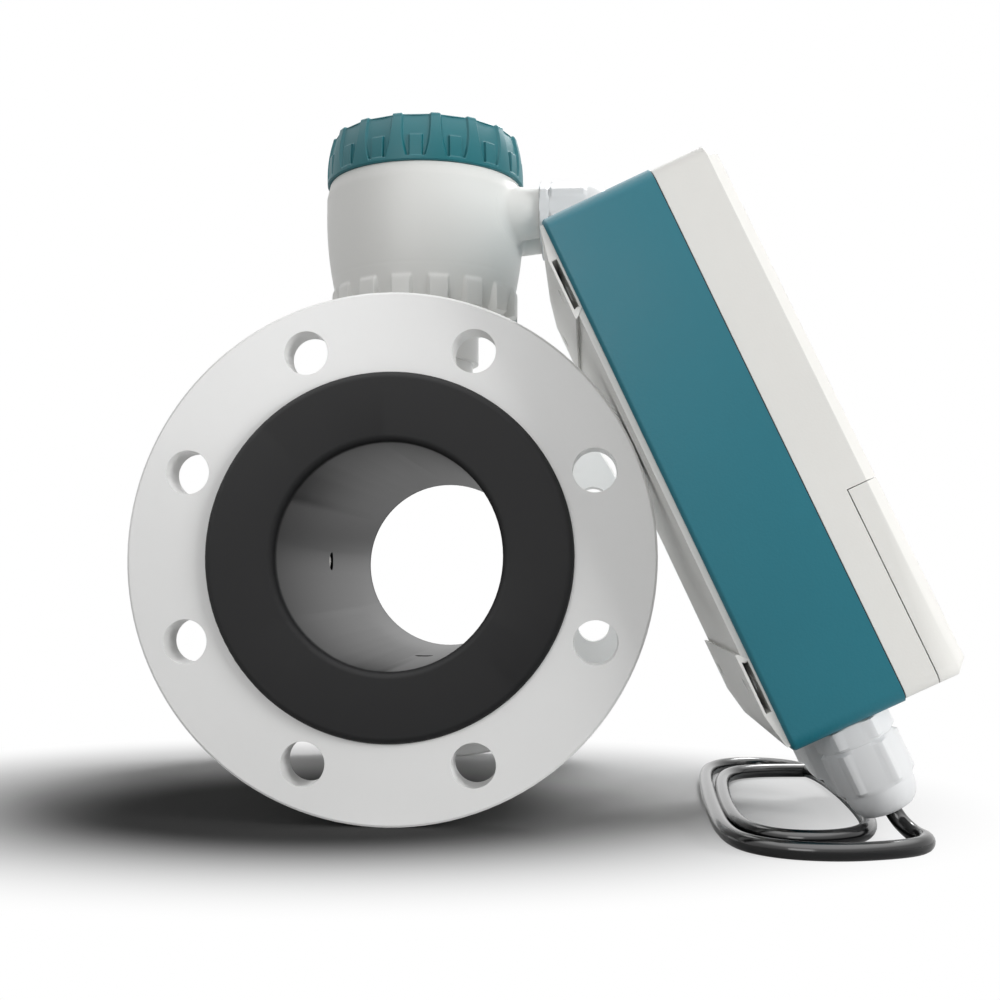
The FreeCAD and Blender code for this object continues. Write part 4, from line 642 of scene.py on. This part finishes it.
plate_parts = [slab([(-SPINE_THICK, -SPINE_HALF_LONG), (0, -SPINE_HALF_LONG), (0, SPINE_HALF_LONG),
                     (-SPINE_THICK, SPINE_HALF_LONG)], SPINE_HALF)]
for way in (-1, 1):
    passage = slab([(STRAP_BACK, STRAP_LOW), (STRAP_FRONT, STRAP_LOW), (STRAP_FRONT, STRAP_HIGH),
                    (STRAP_BACK, STRAP_HIGH)], FOOT_HALF + 5, way)
    middle = way * (STRAP_LOW + STRAP_HIGH) / 2
    holes = [wall_drill(side * HOLE_ACROSS, middle) for side in (-1, 1)]
    plate_parts.append(drilled(slab(FOOT, FOOT_HALF, way), passage, *holes))
fitted("wall_plate_moulding", joined("wall_plate_moulding", plate_parts), white_abs, "white_plastic",
       "wall_plate")

# The display window is clear polycarbonate with a black border printed behind it, and the display lies under
# it, grey green and unlit. The border is drawn in the case's own directions: a Mapping node puts their origin
# in the window's middle, and a Vector Rotate node turns them upright.
WINDOW_UP, CLEAR_HALF_WIDTH, CLEAR_HALF_HEIGHT = 0.062, 0.036, 0.017
window_glass, tree = new_material("clear polycarbonate with a printed border")
centred = add(tree, "Mapping", {"Vector": add(tree, "TexCoord").outputs["Object"],
                                "Location": -(CASE_ORIGIN + WINDOW_UP * CASE_UP)})
upright = add(tree, "VectorRotate", {"Vector": centred.outputs["Vector"], "Axis": (0, 1, 0), "Angle": LEAN})
parts = add(tree, "SeparateXYZ", {"Vector": upright.outputs["Vector"]})
sizes = []
for socket, half in (("Y", CLEAR_HALF_WIDTH), ("Z", CLEAR_HALF_HEIGHT)):
    apart = add(tree, "Math", {0: parts.outputs[socket]}, operation="ABSOLUTE")
    sizes.append(add(tree, "Math", {0: apart.outputs["Value"], 1: half}, operation="DIVIDE").outputs["Value"])
farther = add(tree, "Math", {0: sizes[0], 1: sizes[1]}, operation="MAXIMUM")
printed = add(tree, "Math", {0: farther.outputs["Value"], 1: 1.0}, operation="GREATER_THAN")
clear = add(tree, "BsdfPrincipled", {"Base Color": linear("#EEF3F2"), "Roughness": 0.04, "IOR": 1.58,
                                     "Transmission Weight": 1.0})
ink = add(tree, "BsdfPrincipled", {"Base Color": linear("#15171A"), "Roughness": 0.12, "IOR": 1.58,
                                   "Coat Weight": 0.6})
pane = add(tree, "MixShader", {0: printed.outputs["Value"], 1: clear.outputs["BSDF"], 2: ink.outputs["BSDF"]})
add(tree, "OutputMaterial", {"Surface": pane.outputs["Shader"]})
dress(window_glass, "display_window")
dress(coated("liquid crystal glass", "#9FB09A", 0.2, 0.0005, 0.0, coat=0.5), "display_module")

# The four keys are moulded from dark grey silicone rubber, which is dull and soft at its edges. They stand a
# little out of the cover, and each presses a switch behind it.
dress(coated("dark grey silicone rubber", "#3A4247", 0.5, 0.0006, 0.00001, edge=0.0008), "key_1", "key_2",
      "key_3", "key_4")

# Inside the case and the cup lie glass-fibre boards with a glossy green solder mask. The terminal block and
# the switches are moulded in half matt black phenolic, and the terminal strip in green polyamide.
dress(coated("green solder mask on laminate", "#1E5A34", 0.3, 0.0005, 0.00001), "main_board", "power_board",
      "display_board")
dress(coated("black phenolic", "#202124", 0.4, 0.0005, 0.00001), "terminal_block", "key_switches")
dress(coated("green polyamide", "#3E8F5A", 0.4, 0.0005, 0.00001), "terminal_strip")

# The floor isn't part of the meter. It is white paper with a painted shadow: for the camera its colour is
# darkened to grey under the meter, and further out it is as white as the air. Light from the lamps meets the
# same even paper everywhere.
FLOOR_SIZE, PAPER, WHITE = 6.0, 0.62, (1, 1, 1, 1)
floor_mesh = bpy.data.meshes.new("floor")
floor_mesh.from_pydata([(x, y, FLOOR) for x, y in FLOOR_SIZE * np.array([(-1, -1), (1, -1), (1, 1), (-1, 1)])],
                       [], [(0, 1, 2, 3)])
floor = bpy.data.objects.new("floor", floor_mesh)
scene.collection.objects.link(floor)
paper, tree = new_material("paper floor with a painted shadow")
by_camera = add(tree, "LightPath").outputs["Is Camera Ray"]
on_floor = add(tree, "TexCoord").outputs["Object"]


def spot(place, scale, start, end, low, high):
    """A level on the floor that runs from low to high between two distances from a place. The distance is the
    length of the way to the place after each axis is stretched by its scale."""
    flat = add(tree, "Mapping", {"Vector": on_floor, "Location": [-p * s for p, s in zip(place, scale)],
                                 "Scale": scale})
    away = add(tree, "VectorMath", {0: flat.outputs["Vector"]}, operation="LENGTH")
    return add(tree, "MapRange", {"Value": away.outputs["Value"], "From Min": start, "From Max": end,
                                  "To Min": low, "To Max": high}, interpolation_type="SMOOTHSTEP")


# Painted shadow: the colour the camera sees is darkest round a place to the front left of the meter's middle.
painted_shadow = spot((-0.04, -0.08, 0), (1, 1.2, 0), 0.08, 0.2, 0.07, 0.5)
grey = add(tree, "Mix", {"Factor": by_camera, 2: PAPER, 3: painted_shadow.outputs["Result"]})
colour = add(tree, "CombineColor", {channel: grey.outputs[0] for channel in ("Red", "Green", "Blue")})
matt = add(tree, "BsdfDiffuse", {"Color": colour.outputs["Color"]})
glow = add(tree, "Emission", {"Color": WHITE, "Strength": 1.0})
fade = spot((-0.03, -0.03, 0), (1.2, 1.55, 0), 0.17, 0.38, 0.0, 1.0)
share = add(tree, "Math", {0: fade.outputs["Result"], 1: by_camera}, operation="MULTIPLY")
both = add(tree, "MixShader", {0: share.outputs["Value"], 1: matt.outputs["BSDF"],
                               2: glow.outputs["Emission"]})
add(tree, "OutputMaterial", {"Surface": both.outputs["Shader"]})
floor_mesh.materials.append(paper)

# The surroundings are a white studio. Straight views see pure white, mirrored views see a room that is darker
# low down and behind the camera and brightest overhead, and the rest gives every side a little even light.
ROOM_LIGHT, ROOM_LOW, ROOM_HIGH, CEILING = 0.33, 0.1, 1.3, 2.5
world = bpy.data.worlds.new("studio")
scene.world = world
world.use_nodes = True
tree = world.node_tree
tree.nodes.clear()
seen = add(tree, "LightPath")
straight = add(tree, "Math", {0: seen.outputs["Is Camera Ray"], 1: seen.outputs["Is Transmission Ray"]},
               operation="MAXIMUM")
mirrored = add(tree, "Math", {0: straight.outputs["Value"], 1: seen.outputs["Is Glossy Ray"]},
               operation="MAXIMUM")
toward = add(tree, "SeparateXYZ", {"Vector": add(tree, "TexCoord").outputs["Generated"]})
climbing = add(tree, "MapRange", {"Value": toward.outputs["Z"], "From Min": -0.15, "From Max": 0.4,
                                  "To Min": ROOM_LOW, "To Max": ROOM_HIGH})
backdrop = add(tree, "MapRange", {"Value": toward.outputs["Y"], "From Min": -0.7, "From Max": 0.3})
walls = add(tree, "Mix", {"Factor": backdrop.outputs["Result"], 2: climbing.outputs["Result"], 3: 1.0})
ceiling = add(tree, "MapRange", {"Value": toward.outputs["Z"], "From Min": 0.5, "From Max": 0.85,
                                 "To Min": 0.0, "To Max": CEILING}, interpolation_type="SMOOTHSTEP")
room = add(tree, "Math", {0: walls.outputs[0], 1: ceiling.outputs["Result"]}, operation="ADD")
shown = add(tree, "Mix", {"Factor": straight.outputs["Value"], 2: room.outputs["Value"], 3: 1.0})
level = add(tree, "Mix", {"Factor": mirrored.outputs["Value"], 2: ROOM_LIGHT, 3: shown.outputs[0]})
sky = add(tree, "Background", {"Color": WHITE, "Strength": level.outputs[0]})
add(tree, "OutputWorld", {"Surface": sky.outputs["Background"]})


def softbox(name, place, target, width, height, power, mirrored=True):
    """A rectangular lamp at a place, facing a target. Glossy surfaces may be kept from mirroring it."""
    lamp_data = bpy.data.lights.new(name, "AREA")
    lamp_data.shape = "RECTANGLE"
    lamp_data.size, lamp_data.size_y = width, height
    lamp_data.energy = power
    lamp = bpy.data.objects.new(name, lamp_data)
    lamp.location = place
    lamp.visible_glossy = mirrored
    lamp.rotation_euler = (Vector(target) - Vector(place)).to_track_quat("-Z", "Y").to_euler()
    scene.collection.objects.link(lamp)


# Three soft lamps: a low key from the right, so that the case shades the flange, a weak fill from the front
# left, and a top lamp from behind on the right, which throws the shadow to the front left.
softbox("key", (1.3, -0.72, 0.28), (0, 0, 0), 0.6, 0.6, 13, mirrored=False)
softbox("fill", (-0.4, -1.6, 0.5), (0, 0, 0), 0.8, 0.6, 5.5)
softbox("top", (0.5, 0.8, 1.1), (0, 0, 0), 0.5, 0.5, 14)
